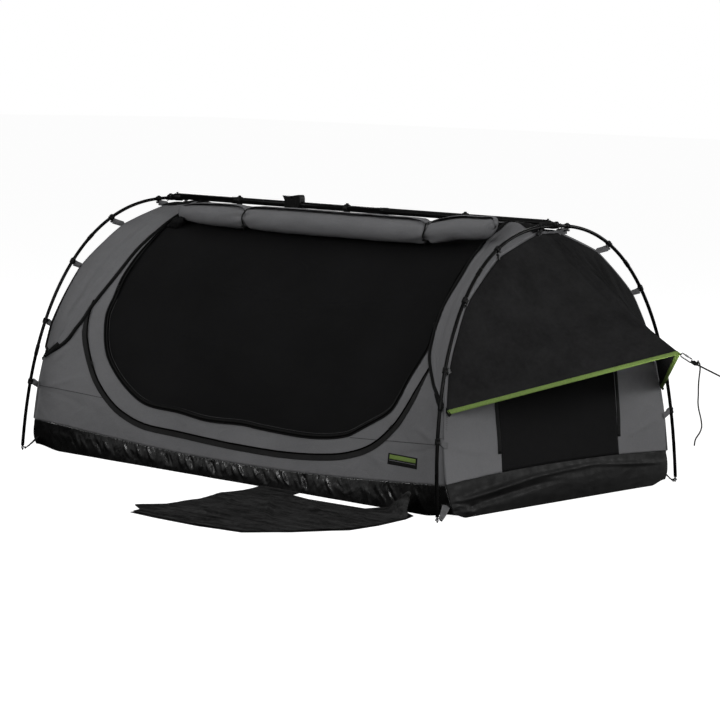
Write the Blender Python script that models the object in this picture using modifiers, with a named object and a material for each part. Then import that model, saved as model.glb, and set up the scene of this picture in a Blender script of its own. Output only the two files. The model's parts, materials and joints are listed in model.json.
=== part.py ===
"""Double swag tent: two leaning hoops, a ridge pole, a canvas tunnel on a PVC tub.

The long side with the rolled-up door faces -Y, and the pulled-out awning faces +X.
The ground is z = 0, and the origin is the middle of the tub's footprint.
"""
from math import acos, asin, cos, hypot, pi, sin, tau

import bmesh
import bpy
from mathutils import Matrix, Vector

# Seams and touching pieces keep this gap.
GAP = 0.0003
SEAM = 0.0006

# Hoops and poles.
FOOT_X = 1.075
FOOT_Y = 0.72
HOOP_HEIGHT = 1.0
HOOP_SQUARENESS = 2.35
HOOP_LEAN = 0.09
HOOP_FOOT_Z = 0.02
POLE_RADIUS = 0.00625
RIDGE_RADIUS = 0.0125
RIDGE_Z = 1.0085
RIDGE_HALF_LENGTH = 0.958
CLIP_ANGLES = [0.075, 0.42, 0.77, 1.09, 1.347]
CLIP_WALL = 0.0035
CLIP_LENGTH = 0.022
CLIP_REACH = 0.0165
TONGUE_WIDTH = 0.018
TONGUE_THICK = 0.006
TONGUE_START = 0.004
HUB_RADIUS = 0.0195
HUB_DROP = 0.004
HUB_OVERLAP = 0.030
HUB_NOSE = 0.016
LOOP_CORD = 0.0018

# Feet: a pin and a ring under each end of a hoop.
PIN_RADIUS = 0.003
RING_RADIUS = 0.011
RING_WIRE = 0.0016
RING_Z = 0.010
STRAP_THICK = 0.002
STRAP_RISE = 0.036
STRAP_NARROW = 0.016
STRAP_WIDE = 0.030
STRAP_SLANT = 0.010
STRAP_END = 0.0185

# Canvas tunnel: its outline is squarer at its ends than half way along, and its ends
# lean in more than the hoops.
CLOTH_FOOT_X = 1.0797
CLOTH_LEAN = 0.128
END_HALF_WIDTH = 0.670
MID_HALF_WIDTH = 0.622
END_TOP_Z = 0.982
END_SIDE_POWER = 1.66
END_TOP_POWER = 3.35
MID_TOP_Z = 0.984
MID_SIDE_POWER = 1.31
MID_TOP_POWER = 2.13
BLEND_POWER = 6
CANVAS = 0.003
MESH_CLOTH = 0.0015
ROOF_HALF_WIDTH = 0.05

# Tub of heavy PVC.
FLOOR = 0.004
TUB_INSET = 0.004
FLOOR_GAP = 0.001
TUB_HALF_WIDTH = 0.632
TUB_LONG_TOP = 0.068
TUB_CORNER_RISE = 0.055
TUB_END_TOP = 0.145
TUB_END_DROP = 0.018
TUB_BULGE = 0.012
CORNER_PULL = 0.012
PULL_AT_FLOOR = 0.15

# Piping between the hoods and the walls.
PIPING_X = 0.806
PIPING_TOP = 0.95
PIPING_BOW = 0.47
PIPING_FLARE = 1.97
HOOD_BOTTOM = 0.378
PIPING_RADIUS = 0.004
TUB_SEAM = 0.0013
END_SEAM = 0.0024

# Door openings in the long sides, each a wide U with round corners.
ZIP_HALF_WIDTH = 0.89
ZIP_BOTTOM = 0.148
ZIP_START = 0.12
MESH_HALF_WIDTH = 0.84
MESH_BOTTOM = 0.222
MESH_START = 0.04
DOOR_CORNER = 0.42
TAPE_WIDTH = 0.018
TAPE_THICK = 0.0024
TAPE_LIFT = 0.0022
ZIP_RUN_UP = 0.075

# Rolled-up door under the ridge.
ROLL_HALF_LENGTH = 0.79
ROLL_RADIUS = 0.044
ROLL_END_RADIUS = 0.030
ROLL_SEAT_Y = 0.145
TIE_PLACES = [-0.375, 0.55]
TIE_CINCH = 0.007
TIE_WIDTH = 0.022
TIE_THICK = 0.002

# End panels.
WINDOW_HALF_WIDTH = 0.355
WINDOW_TOP = 0.62
FLAP_TAPE_BOTTOM = 0.206
TAB_WIDTH = 0.022
TAB_BEND = 0.005
TAB_ROOT = 0.020
TAB_THICK = 0.0018

# Awnings.
AWNING_INSET = 0.005
AWNING_CORNER_Z = 0.38
AWNING_TIP = Vector((1.558, 0.0, 0.586))
AWNING_SAG = 0.016
AWNING_HEM = 0.016
HEM_THICK = 0.0045
CLOSED_AWNING_TIP_Z = 0.30
CLOSED_AWNING_SWING = 0.060

# Guy rope of the open awning.
PEG_X = 3.00
PEG_Y = 0.24
PEG_HEIGHT = 0.055
PEG_RADIUS = 0.0035
ROPE_RADIUS = 0.002
LINK_LENGTH = 0.050
LINK_DROP = 0.022
LINK_RADIUS = 0.007
LINK_WIRE = 0.0018
SLIDER_LENGTH = 0.022
SLIDER_WIDTH = 0.022
SLIDER_THICK = 0.009
TAIL_SHIFT = 0.007
HOOK_RADIUS = 0.010
TAIL_ROUTE = [
    (1.638, -0.009, 0.570), (1.646, -0.010, 0.560), (1.648, -0.009, 0.540),
    (1.645, -0.009, 0.506), (1.645, -0.010, 0.475), (1.646, -0.010, 0.451), (1.646, -0.010, 0.425),
    (1.650, -0.009, 0.400), (1.660, -0.008, 0.368), (1.665, -0.009, 0.340), (1.658, -0.011, 0.318),
    (1.646, -0.012, 0.300), (1.641, -0.012, 0.285), (1.640, -0.012, 0.272),
]

# Gear mat on the ground in front of the door.
MAT_THICK = 0.006
MAT_FLAP_Y = -0.646
MAT_FLAP = [(0.700, 0.001), (0.760, 0.030), (0.850, 0.052), (0.865, 0.040), (0.880, 0.001)]
MAT_OUTLINE = [
    (0.160, -0.6328), (0.350, -0.6328), (0.372, -0.700), (0.470, -0.722), (0.690, -0.712),
    (0.720, -0.6333), (0.850, -0.6333), (0.965, -0.760), (0.976, -0.930), (0.972, -1.070),
    (0.875, -1.245), (0.775, -1.375), (0.600, -1.401), (0.400, -1.401), (0.250, -1.363),
    (0.165, -1.285), (0.225, -1.190), (0.222, -1.020), (0.175, -0.860), (0.192, -0.765),
]

CANVAS_GREY = (0.085, 0.085, 0.090)
PIPING_BLACK = (0.008, 0.008, 0.008)
PVC_BLACK = (0.010, 0.010, 0.011)
AWNING_BLACK = (0.016, 0.016, 0.017)
MESH_BLACK = (0.006, 0.006, 0.007)
TRIM_GREEN = (0.120, 0.235, 0.045)
STEEL = (0.75, 0.75, 0.76)


def clear_scene():
    for old in list(bpy.data.objects):
        bpy.data.objects.remove(old)


def new_collection(name):
    collection = bpy.data.collections.new(name)
    bpy.context.scene.collection.children.link(collection)
    return collection


clear_scene()
PARTS = new_collection("swag_tent")
CUTTERS = new_collection("cutters")


def material(name, colour, roughness, metallic=0.0):
    mat = bpy.data.materials.new(name)
    mat.use_nodes = True
    shader = mat.node_tree.nodes["Principled BSDF"]
    shader.inputs["Base Color"].default_value = (*colour, 1.0)
    shader.inputs["Roughness"].default_value = roughness
    shader.inputs["Metallic"].default_value = metallic
    return mat


canvas_mat = material("canvas", CANVAS_GREY, 0.85)
piping_mat = material("black_tape", PIPING_BLACK, 0.6)
pvc_mat = material("pvc", PVC_BLACK, 0.28)
awning_mat = material("awning_cloth", AWNING_BLACK, 0.9)
mesh_mat = material("insect_mesh", MESH_BLACK, 0.95)
trim_mat = material("green_binding", TRIM_GREEN, 0.7)
pole_mat = material("pole_black", PIPING_BLACK, 0.35, 0.4)
plastic_mat = material("clip_plastic", PIPING_BLACK, 0.45)
webbing_mat = material("webbing", CANVAS_GREY, 0.9)
steel_mat = material("bright_steel", STEEL, 0.2, 1.0)


def add_object(name, data, mat, collection=None):
    obj = bpy.data.objects.new(name, data)
    (collection or PARTS).objects.link(obj)
    if mat is not None:
        data.materials.append(mat)
    return obj


def mesh_object(name, bm, mat, collection=None):
    bmesh.ops.recalc_face_normals(bm, faces=bm.faces)
    data = bpy.data.meshes.new(name)
    bm.to_mesh(data)
    bm.free()
    return add_object(name, data, mat, collection)


def sheet(name, mat, columns, rows, place, thickness, offset=-1.0):
    """A cloth panel: a grid laid over place(u, v), made thick."""
    bm = bmesh.new()
    bmesh.ops.create_grid(bm, x_segments=columns, y_segments=rows, size=0.5)
    for vert in bm.verts:
        vert.co = place(vert.co.x + 0.5, vert.co.y + 0.5)
    data = bpy.data.meshes.new(name)
    bm.to_mesh(data)
    bm.free()
    obj = add_object(name, data, mat)
    solidify = obj.modifiers.new("cloth_thickness", "SOLIDIFY")
    solidify.thickness = thickness
    solidify.offset = offset
    solidify.use_even_offset = True
    return obj


def prism(name, outline, axis, low, high, mat=None, collection=None):
    """A straight extrusion along axis X or Y of an outline in the other two."""
    bm = bmesh.new()
    if axis == "X":
        verts = [bm.verts.new((low, a, b)) for a, b in outline]
        step = Vector((high - low, 0, 0))
    elif axis == "Y":
        verts = [bm.verts.new((a, low, b)) for a, b in outline]
        step = Vector((0, high - low, 0))
    else:
        verts = [bm.verts.new((a, b, low)) for a, b in outline]
        step = Vector((0, 0, high - low))
    base = bm.faces.new(verts)
    grown = bmesh.ops.extrude_face_region(bm, geom=[base])
    moved = [item for item in grown["geom"] if isinstance(item, bmesh.types.BMVert)]
    bmesh.ops.translate(bm, vec=step, verts=moved)
    return mesh_object(name, bm, mat, collection)


def cutter(name, outline, axis, low, high):
    obj = prism(name, outline, axis, low, high, None, CUTTERS)
    obj.hide_render = True
    obj.display_type = "WIRE"
    return obj


def boolean(obj, other, operation="DIFFERENCE"):
    modifier = obj.modifiers.new(operation.lower(), "BOOLEAN")
    modifier.operation = operation
    modifier.solver = "EXACT"
    modifier.object = other


def as_guide(obj):
    """Keep a solid only as the tool of a Boolean."""
    for collection in list(obj.users_collection):
        collection.objects.unlink(obj)
    CUTTERS.objects.link(obj)
    obj.hide_render = True
    obj.display_type = "WIRE"
    return obj


def tube(name, points, radius, mat, cyclic=False, sides=2):
    data = bpy.data.curves.new(name, "CURVE")
    data.dimensions = "3D"
    data.bevel_depth = radius
    data.bevel_resolution = sides
    data.use_fill_caps = True
    spline = data.splines.new("POLY")
    spline.points.add(len(points) - 1)
    for point, place in zip(spline.points, points):
        point.co = (*place, 1.0)
    spline.use_cyclic_u = cyclic
    return add_object(name, data, mat)


def curve_to_mesh(obj):
    """Swap a curve object for a mesh of the same form, so that it can be joined or cut."""
    name = obj.name
    mat = obj.data.materials[0]
    collection = obj.users_collection[0]
    bpy.context.view_layer.update()
    evaluated = obj.evaluated_get(bpy.context.evaluated_depsgraph_get())
    data = bpy.data.meshes.new_from_object(evaluated)
    place = obj.matrix_world.copy()
    bpy.data.objects.remove(obj)
    bm = bmesh.new()
    bm.from_mesh(data)
    bmesh.ops.remove_doubles(bm, verts=bm.verts, dist=0.00001)
    bmesh.ops.recalc_face_normals(bm, faces=bm.faces)
    bm.to_mesh(data)
    bm.free()
    data.materials.clear()
    made = add_object(name, data, mat, collection)
    made.matrix_world = place
    return made


def box(name, size, mat, place, turn=None, collection=None):
    bm = bmesh.new()
    bmesh.ops.create_cube(bm, size=1.0)
    bmesh.ops.scale(bm, vec=Vector(size), verts=bm.verts)
    matrix = Matrix.Translation(place) @ (turn.to_4x4() if turn else Matrix.Identity(4))
    bmesh.ops.transform(bm, matrix=matrix, verts=bm.verts)
    return mesh_object(name, bm, mat, collection)


def rod(name, start, end, radius, mat, sides=12, collection=None):
    start = Vector(start)
    end = Vector(end)
    direction = end - start
    bm = bmesh.new()
    bmesh.ops.create_cone(bm, cap_ends=True, segments=sides, radius1=radius, radius2=radius,
                          depth=direction.length)
    turn = direction.to_track_quat("Z", "Y").to_matrix().to_4x4()
    bmesh.ops.transform(bm, matrix=Matrix.Translation((start + end) / 2) @ turn, verts=bm.verts)
    return mesh_object(name, bm, mat, collection)


def end_x(z):
    """Distance of the hoop's leaning plane from the middle, at a height."""
    return FOOT_X - HOOP_LEAN * z


def cloth_end_x(z):
    """Distance of the canvas end from the middle, at a height."""
    return CLOTH_FOOT_X - CLOTH_LEAN * z


def superellipse(angle, half_width, height, side_power, top_power):
    y = half_width * abs(sin(angle)) ** (2 / side_power)
    z = height * abs(cos(angle)) ** (2 / top_power)
    return (y if angle >= 0 else -y), z


def hoop_point(side, angle):
    y, z = superellipse(angle, FOOT_Y, HOOP_HEIGHT, HOOP_SQUARENESS, HOOP_SQUARENESS)
    return Vector((side * end_x(z), y, z))


def tunnel_form(share):
    """Half width, top height and the two powers of the tunnel's outline."""
    blend = min(1.0, abs(share)) ** BLEND_POWER
    half_width = MID_HALF_WIDTH + (END_HALF_WIDTH - MID_HALF_WIDTH) * blend
    top = MID_TOP_Z + (END_TOP_Z - MID_TOP_Z) * blend
    side_power = MID_SIDE_POWER + (END_SIDE_POWER - MID_SIDE_POWER) * blend
    top_power = MID_TOP_POWER + (END_TOP_POWER - MID_TOP_POWER) * blend
    return half_width, top, side_power, top_power


def tunnel_point(share, angle):
    """A point of the tunnel; share runs from -1 to 1 between the two ends."""
    y, z = superellipse(angle, *tunnel_form(share))
    return Vector((share * (cloth_end_x(z) - END_SEAM), y, z))


def tunnel_angle_at_height(share, z):
    half_width, top, side_power, top_power = tunnel_form(share)
    return acos(min(1.0, z / top) ** (top_power / 2))


def tunnel_angle_at_width(share, y):
    half_width, top, side_power, top_power = tunnel_form(share)
    return asin(min(1.0, y / half_width) ** (side_power / 2))


def tunnel_normal(share, angle):
    step = 0.002
    along = tunnel_point(share + step, angle) - tunnel_point(share - step, angle)
    around = tunnel_point(share, angle + step) - tunnel_point(share, angle - step)
    normal = around.cross(along).normalized()
    return normal if normal.z > 0 or normal.y * angle > 0 else -normal


def tub_long_top(x):
    return TUB_LONG_TOP + TUB_CORNER_RISE * (x / FOOT_X) ** 2


def tub_end_top(y):
    return TUB_END_TOP - TUB_END_DROP * (y / END_HALF_WIDTH) ** 2


def piping_x(z):
    drop = max(0.0, PIPING_TOP - z)
    return PIPING_X + PIPING_BOW * drop ** 2 + PIPING_FLARE * drop ** 6


def wall_point(x, z, facing, lift=0.0):
    """The point of the tunnel's side at a distance along it and a height."""
    share = x / (cloth_end_x(z) - END_SEAM)
    angle = facing * tunnel_angle_at_height(share, z)
    point = tunnel_point(share, angle)
    if lift:
        point += tunnel_normal(share, angle) * lift
    return point


def roof_edge(x, facing):
    share = x / (cloth_end_x(MID_TOP_Z) - END_SEAM)
    return tunnel_point(share, facing * tunnel_angle_at_width(share, ROOF_HALF_WIDTH + SEAM))


UPPER_ROWS = 10
LOWER_ROWS = 3
WALL_COLUMNS = 18


def upper_height(x, row):
    """Height of a row of the cloth above the hoods' lower corners."""
    rise = roof_edge(x, 1).z - HOOD_BOTTOM
    return HOOD_BOTTOM + rise * sin(pi / 2 * row / UPPER_ROWS)


def side_sheet(name, mat, thickness, facing):
    """A whole long side between the two pipings, from the tub to the roof strip."""
    def place(u, v):
        share = 2 * u - 1
        row = round(v * (LOWER_ROWS + UPPER_ROWS)) - LOWER_ROWS
        if row >= UPPER_ROWS:
            point = roof_edge(share * (PIPING_X - SEAM / 2), facing)
            return point
        if row >= 0:
            z = upper_height(share * PIPING_X, row)
            reach = piping_x(z) - SEAM / 2
        else:
            low = tub_long_top(share * end_x(0.1)) + TUB_SEAM
            z = low + (HOOD_BOTTOM - low) * (row + LOWER_ROWS) / LOWER_ROWS
            reach = cloth_end_x(z) - END_SEAM
        return wall_point(share * reach, z, facing)
    offset = -1.0 if facing < 0 else 1.0
    return sheet(name, mat, WALL_COLUMNS, LOWER_ROWS + UPPER_ROWS, place, thickness, offset)


def hood_sheet(name, side):
    """The cloth from the piping to the hoop, from the front corner over to the back one."""
    rows = UPPER_ROWS + 1

    def place(u, v):
        step = round((2 * v - 1) * rows)
        facing = -1 if step < 0 else 1
        row = rows - abs(step)
        if row >= UPPER_ROWS:
            x = PIPING_X + SEAM / 2 + (cloth_end_x(END_TOP_Z) - END_SEAM - PIPING_X - SEAM / 2) * u
            if row > UPPER_ROWS:
                return tunnel_point(side * x / (cloth_end_x(MID_TOP_Z) - END_SEAM), 0.0)
            return roof_edge(side * x, facing)
        edge = upper_height(PIPING_X, row)
        inner = piping_x(edge) + SEAM / 2
        z = upper_height(inner + (cloth_end_x(edge) - inner) * u, row)
        x = inner + (cloth_end_x(z) - END_SEAM - inner) * u
        return wall_point(side * x, z, facing)
    return sheet(name, canvas_mat, 4, 2 * rows, place, CANVAS, -1.0 if side > 0 else 1.0)


def door_outline(half_width, bottom, start, grow):
    """The door's U, which opens out to the pipings above its round corners."""
    steps = 9
    radius = DOOR_CORNER + grow
    centre_x = half_width - DOOR_CORNER
    centre_z = bottom + DOOR_CORNER
    shoulder = centre_z - DOOR_CORNER * sin(start) - grow
    first = asin((centre_z - shoulder) / radius)
    turns = [first + (pi / 2 - first) * i / steps for i in range(steps + 1)]
    corner = [(centre_x + radius * cos(t), centre_z - radius * sin(t)) for t in turns]
    left = [(-1.2, 1.2), (-1.2, shoulder)] + [(-x, z) for x, z in corner]
    return left + list(reversed(corner)) + [(1.2, shoulder), (1.2, 1.2)]


def door_path(half_width, bottom, start):
    """Points in X and Z along a zip, each with its outward direction."""
    corner_steps = 11
    floor_steps = 8
    centre_x = half_width - DOOR_CORNER
    centre_z = bottom + DOOR_CORNER
    turns = [start + (pi / 2 - start) * i / corner_steps for i in range(corner_steps + 1)]
    clearance = PIPING_RADIUS + TAPE_WIDTH / 2 + SEAM
    shoulder = centre_z - DOOR_CORNER * sin(start)
    merged = [shoulder + ZIP_RUN_UP * i / 3 for i in (3, 2, 1)]
    left = [(clearance - piping_x(z), z, -1.0, 0.0) for z in merged]
    left += [(-centre_x - DOOR_CORNER * cos(t), centre_z - DOOR_CORNER * sin(t), -cos(t), -sin(t)) for t in turns]
    right = [(-x, z, -nx, nz) for x, z, nx, nz in reversed(left)]
    middle = [(centre_x * (2 * i / floor_steps - 1), bottom, 0.0, -1.0) for i in range(1, floor_steps)]
    return left + middle + right


def zip_tape(name, half_width, bottom, start, facing):
    path = door_path(half_width, bottom, start)

    def place(u, v):
        x, z, out_x, out_z = path[round(u * (len(path) - 1))]
        shift = (v - 0.5) * TAPE_WIDTH
        return wall_point(x + out_x * shift, z + out_z * shift, facing, TAPE_LIFT)
    sheet(name, piping_mat, len(path) - 1, 1, place, TAPE_THICK, -1.0 if facing < 0 else 1.0)


def build_tunnel():
    for side, word in ((-1, "left"), (1, "right")):
        hood_sheet("hood_" + word, side)

    def roof(u, v):
        x = (2 * u - 1) * (PIPING_X - SEAM / 2)
        share = x / (cloth_end_x(MID_TOP_Z) - END_SEAM)
        y = ROOF_HALF_WIDTH * (2 * v - 1)
        return tunnel_point(share, (1 if y >= 0 else -1) * tunnel_angle_at_width(share, abs(y)))
    sheet("roof_strip", canvas_mat, WALL_COLUMNS, 2, roof, CANVAS)
    mesh_hole = cutter("mesh_hole", door_outline(MESH_HALF_WIDTH, MESH_BOTTOM, MESH_START, 0.0), "Y", -1, 1)
    mesh_fill = cutter("mesh_fill", door_outline(MESH_HALF_WIDTH, MESH_BOTTOM, MESH_START, -SEAM), "Y", -1, 1)
    zip_hole = cutter("zip_hole", door_outline(ZIP_HALF_WIDTH, ZIP_BOTTOM, ZIP_START, 0.0), "Y", -1, 1)
    zip_fill = cutter("zip_fill", door_outline(ZIP_HALF_WIDTH, ZIP_BOTTOM, ZIP_START, -SEAM), "Y", -1, 1)
    boolean(side_sheet("front_wall", canvas_mat, CANVAS, -1), mesh_hole)
    boolean(side_sheet("door_mesh", mesh_mat, MESH_CLOTH, -1), mesh_fill, "INTERSECT")
    boolean(side_sheet("back_wall", canvas_mat, CANVAS, 1), zip_hole)
    boolean(side_sheet("back_door", canvas_mat, CANVAS, 1), zip_fill, "INTERSECT")
    zip_tape("door_zip_outer", ZIP_HALF_WIDTH, ZIP_BOTTOM, ZIP_START, -1)
    zip_tape("door_zip_inner", MESH_HALF_WIDTH, MESH_BOTTOM, MESH_START, -1)
    zip_tape("back_door_zip", ZIP_HALF_WIDTH, ZIP_BOTTOM, ZIP_START, 1)


def build_piping():
    lift = PIPING_RADIUS + GAP + 0.0001
    for side, word in ((-1, "left"), (1, "right")):
        front = []
        for row in range(UPPER_ROWS):
            z = upper_height(PIPING_X, row) + (0.006 if row == 0 else 0.0)
            front.append(wall_point(side * piping_x(z), z, -1, lift))
        share = side * PIPING_X / (cloth_end_x(MID_TOP_Z) - END_SEAM)
        strip_angle = tunnel_angle_at_width(share, ROOF_HALF_WIDTH)
        crown = [tunnel_point(share, strip_angle * step) + tunnel_normal(share, strip_angle * step + 0.0001) * lift
                 for step in (-1, 0, 1)]
        back = [Vector((p.x, -p.y, p.z)) for p in reversed(front)]
        tube("piping_" + word, front + crown + back, PIPING_RADIUS, piping_mat)


def corner_pull(share, power, v):
    """How far a foot strap draws the tub's cloth outwards near its corner, least at the seams."""
    return CORNER_PULL * abs(share) ** power * sin(pi * (PULL_AT_FLOOR + (1 - PULL_AT_FLOOR) * v))


def build_tub():
    half_length = FOOT_X - TUB_INSET - CANVAS - FLOOR_GAP
    half_width = TUB_HALF_WIDTH - CANVAS - FLOOR_GAP
    outline = [(-half_length, -half_width), (half_length, -half_width),
               (half_length, half_width), (-half_length, half_width)]
    prism("floor_sheet", outline, "Z", 0.0, FLOOR, pvc_mat)
    low = FLOOR_GAP

    def long_side(facing):
        def place(u, v):
            share = 2 * u - 1
            top = tub_long_top(share * end_x(0.1))
            z = low + (top - low) * v
            pull = corner_pull(share, 14, v)
            x = share * (end_x(z) - TUB_INSET) + (pull if share > 0 else -pull)
            wall_top = tunnel_point(share, tunnel_angle_at_height(share, top)).y
            y = TUB_HALF_WIDTH + (wall_top - TUB_HALF_WIDTH) * v + pull
            return Vector((x, facing * y, z))
        return place

    inner_share = 0.985
    corner_angle = tunnel_angle_at_height(inner_share, tub_end_top(END_HALF_WIDTH))
    top_corner = tunnel_point(inner_share, corner_angle).y

    def end_side(facing):
        def place(u, v):
            share = 2 * u - 1
            corner = TUB_HALF_WIDTH + (top_corner - TUB_HALF_WIDTH) * v - CANVAS - 2 * SEAM
            pull = corner_pull(share, 10, v)
            y = share * corner + (pull if share > 0 else -pull)
            z = low + (tub_end_top(y) - low) * v
            bulge = TUB_BULGE * sin(pi * v) * cos(pi / 2 * share)
            return Vector((facing * (end_x(z) - TUB_INSET + bulge + pull), y, z))
        return place

    sheet("tub_front", pvc_mat, WALL_COLUMNS, 2, long_side(-1), CANVAS, offset=-1.0)
    sheet("tub_back", pvc_mat, WALL_COLUMNS, 2, long_side(1), CANVAS, offset=1.0)
    sheet("tub_end_left", pvc_mat, 10, 4, end_side(-1), CANVAS, offset=1.0)
    sheet("tub_end_right", pvc_mat, 10, 4, end_side(1), CANVAS, offset=-1.0)


def arch_outline(half_width, height, bottom, steps=28):
    """Outline in Y and Z of an end arch, from one lower corner over to the other."""
    low_angle = acos((bottom / height) ** (END_TOP_POWER / 2))
    points = []
    for i in range(steps + 1):
        angle = low_angle * (2 * i / steps - 1)
        points.append(superellipse(angle, half_width, height, END_SIDE_POWER, END_TOP_POWER))
    return points


def lean(obj, side, start):
    """Shear a prism made along X into the leaning plane of the canvas end."""
    for vert in obj.data.vertices:
        vert.co.x = side * (cloth_end_x(vert.co.z) + start + vert.co.x)
    if side < 0:
        bm = bmesh.new()
        bm.from_mesh(obj.data)
        bmesh.ops.recalc_face_normals(bm, faces=bm.faces)
        bm.to_mesh(obj.data)
        bm.free()


def hoop_inward(angle):
    """Direction in Y and Z from the hoop towards the canvas."""
    step = 0.002
    ahead = hoop_point(1, angle + step)
    behind = hoop_point(1, angle - step)
    across = Vector((0, -(ahead.z - behind.z), ahead.y - behind.y)).normalized()
    middle = Vector((0, 0, 0.35))
    return across if across.dot(middle - Vector((0, ahead.y, ahead.z))) > 0 else -across


def beyond_end(point):
    """Whether a point in Y and Z lies outside the canvas end's outline, by the tabs' bend."""
    across = abs(point.y) / (END_HALF_WIDTH + TAB_BEND)
    upwards = point.z / (END_TOP_Z + TAB_BEND)
    return across ** END_SIDE_POWER + upwards ** END_TOP_POWER > 1


def tab_sheet(name, side, angle):
    """Webbing tab that lies in the canvas end up to its edge and then runs out to a hoop clip."""
    start = hoop_point(1, angle)
    inward = hoop_inward(angle)
    across = Vector((0, inward.z, -inward.y))
    clip = Vector((0, start.y, start.z)) + inward * (CLIP_REACH + GAP)
    reach = 0.0
    edge = clip
    while all(beyond_end(edge + across * shift) for shift in (-TAB_WIDTH / 2, 0.0, TAB_WIDTH / 2)):
        reach += GAP
        edge = clip + inward * reach
    outwards = start.x - cloth_end_x(edge.z) - CANVAS / 2
    clip = clip + inward * (TAB_THICK / 2 * outwards / hypot(outwards, reach))
    spine = [edge + inward * TAB_ROOT, edge, clip]

    def place(u, v):
        row = round(2 * v)
        point = spine[row] + across * ((u - 0.5) * TAB_WIDTH)
        point.x = side * (start.x if row == 2 else cloth_end_x(point.z) + CANVAS / 2)
        return point
    return sheet(name, webbing_mat, 1, 2, place, TAB_THICK, 0.0)


def build_end(side, word):
    bottom_steps = 8
    bottom = []
    for i in range(bottom_steps + 1):
        y = END_HALF_WIDTH * (1 - 2 * i / bottom_steps)
        bottom.append((y * 0.998, tub_end_top(y) + SEAM))
    arch = arch_outline(END_HALF_WIDTH, END_TOP_Z, tub_end_top(END_HALF_WIDTH) + SEAM + 0.0005)
    panel = prism("end_panel_" + word, arch + bottom, "X", 0.0, CANVAS, canvas_mat)
    window = [(-WINDOW_HALF_WIDTH, 0.0), (WINDOW_HALF_WIDTH, 0.0), (WINDOW_HALF_WIDTH, WINDOW_TOP),
              (-WINDOW_HALF_WIDTH, WINDOW_TOP)]
    hole = cutter("window_hole_" + word, window, "X", -0.1, 0.1)
    lean(panel, side, 0.0)
    lean(hole, side, 0.0)
    boolean(panel, hole)
    for leg in (-1, 1):
        for number, angle in enumerate(CLIP_ANGLES):
            tab = tab_sheet("tab_%s_%d_%d" % (word, leg, number), side, leg * angle)
            boolean(panel, as_guide(tab), "UNION")
    inset = WINDOW_HALF_WIDTH - GAP
    mesh_bottom = [(inset * (1 - i / 3), tub_end_top(inset * (1 - i / 3)) + SEAM) for i in range(7)]
    cloth = [(-inset, WINDOW_TOP - GAP), (inset, WINDOW_TOP - GAP)] + mesh_bottom
    mesh_panel = prism("end_mesh_" + word, cloth, "X", 0.0, MESH_CLOTH, mesh_mat)
    lean(mesh_panel, side, 0.0005)
    tape_in = WINDOW_HALF_WIDTH + 0.001
    tape_out = tape_in + TAPE_WIDTH
    frame = [(-tape_out, FLAP_TAPE_BOTTOM), (-tape_in, FLAP_TAPE_BOTTOM), (-tape_in, WINDOW_TOP + 0.001),
             (tape_in, WINDOW_TOP + 0.001), (tape_in, FLAP_TAPE_BOTTOM), (tape_out, FLAP_TAPE_BOTTOM),
             (tape_out, WINDOW_TOP + 0.001 + TAPE_WIDTH), (-tape_out, WINDOW_TOP + 0.001 + TAPE_WIDTH)]
    tape = prism("window_tape_" + word, frame, "X", 0.0, TAPE_THICK, piping_mat)
    lean(tape, side, CANVAS + GAP)


def awning_arch_point(side, turn):
    """Sewn edge of an awning; turn runs from -1 at the front corner to 1 at the back one."""
    half_width = END_HALF_WIDTH - AWNING_INSET
    height = END_TOP_Z - AWNING_INSET
    low_angle = acos((AWNING_CORNER_Z / height) ** (END_TOP_POWER / 2))
    y, z = superellipse(low_angle * turn, half_width, height, END_SIDE_POWER, END_TOP_POWER)
    return Vector((side * (cloth_end_x(z) + 2 * CANVAS + GAP), y, z))


def free_edge_corner(side, leg):
    corner = awning_arch_point(side, leg)
    return corner + Vector((side * 0.012, 0, -0.012))


def open_awning_point(turn, v):
    """Awning pulled out to its tip by the guy rope."""
    arch = awning_arch_point(1, turn)
    corner = free_edge_corner(1, -1 if turn < 0 else 1)
    edge = corner.lerp(AWNING_TIP, 1 - abs(turn))
    sag = AWNING_SAG * sin(pi * v) * (1 - abs(turn) ** 3)
    return arch.lerp(edge, v) + Vector((-0.5, 0, -0.85)) * sag


def closed_awning_point(turn, v):
    """Awning hanging down over the end panel, pushed out into soft folds."""
    arch = awning_arch_point(-1, turn)
    corner = free_edge_corner(-1, -1 if turn < 0 else 1)
    spread = corner.y * abs(turn) if abs(turn) > 0 else 0.0
    drop = (corner.z - CLOSED_AWNING_TIP_Z) * (1 - turn ** 2)
    swing = CLOSED_AWNING_SWING * (1 - turn ** 2) * (0.75 + 0.25 * cos(3 * pi * turn))
    edge_z = corner.z - drop
    edge = Vector((-(cloth_end_x(edge_z) + 0.014 + swing), spread, edge_z))
    point = arch.lerp(edge, v)
    belly = 0.02 * sin(pi * v) * (1 - turn ** 2)
    return point + Vector((-belly, 0, 0))


def build_awnings():
    for word, point in (("right", open_awning_point), ("left", closed_awning_point)):
        offset = 1.0 if word == "right" else -1.0
        hem_share = 0.93

        def cloth(u, v, point=point):
            return point(2 * u - 1, v * hem_share)

        def hem(u, v, point=point):
            return point(2 * u - 1, hem_share + 0.004 + (1 - hem_share - 0.004) * v)

        sheet("awning_" + word, awning_mat, 20, 6, cloth, CANVAS, offset)
        sheet("awning_trim_" + word, trim_mat, 20, 1, hem, HEM_THICK, offset)


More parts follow.
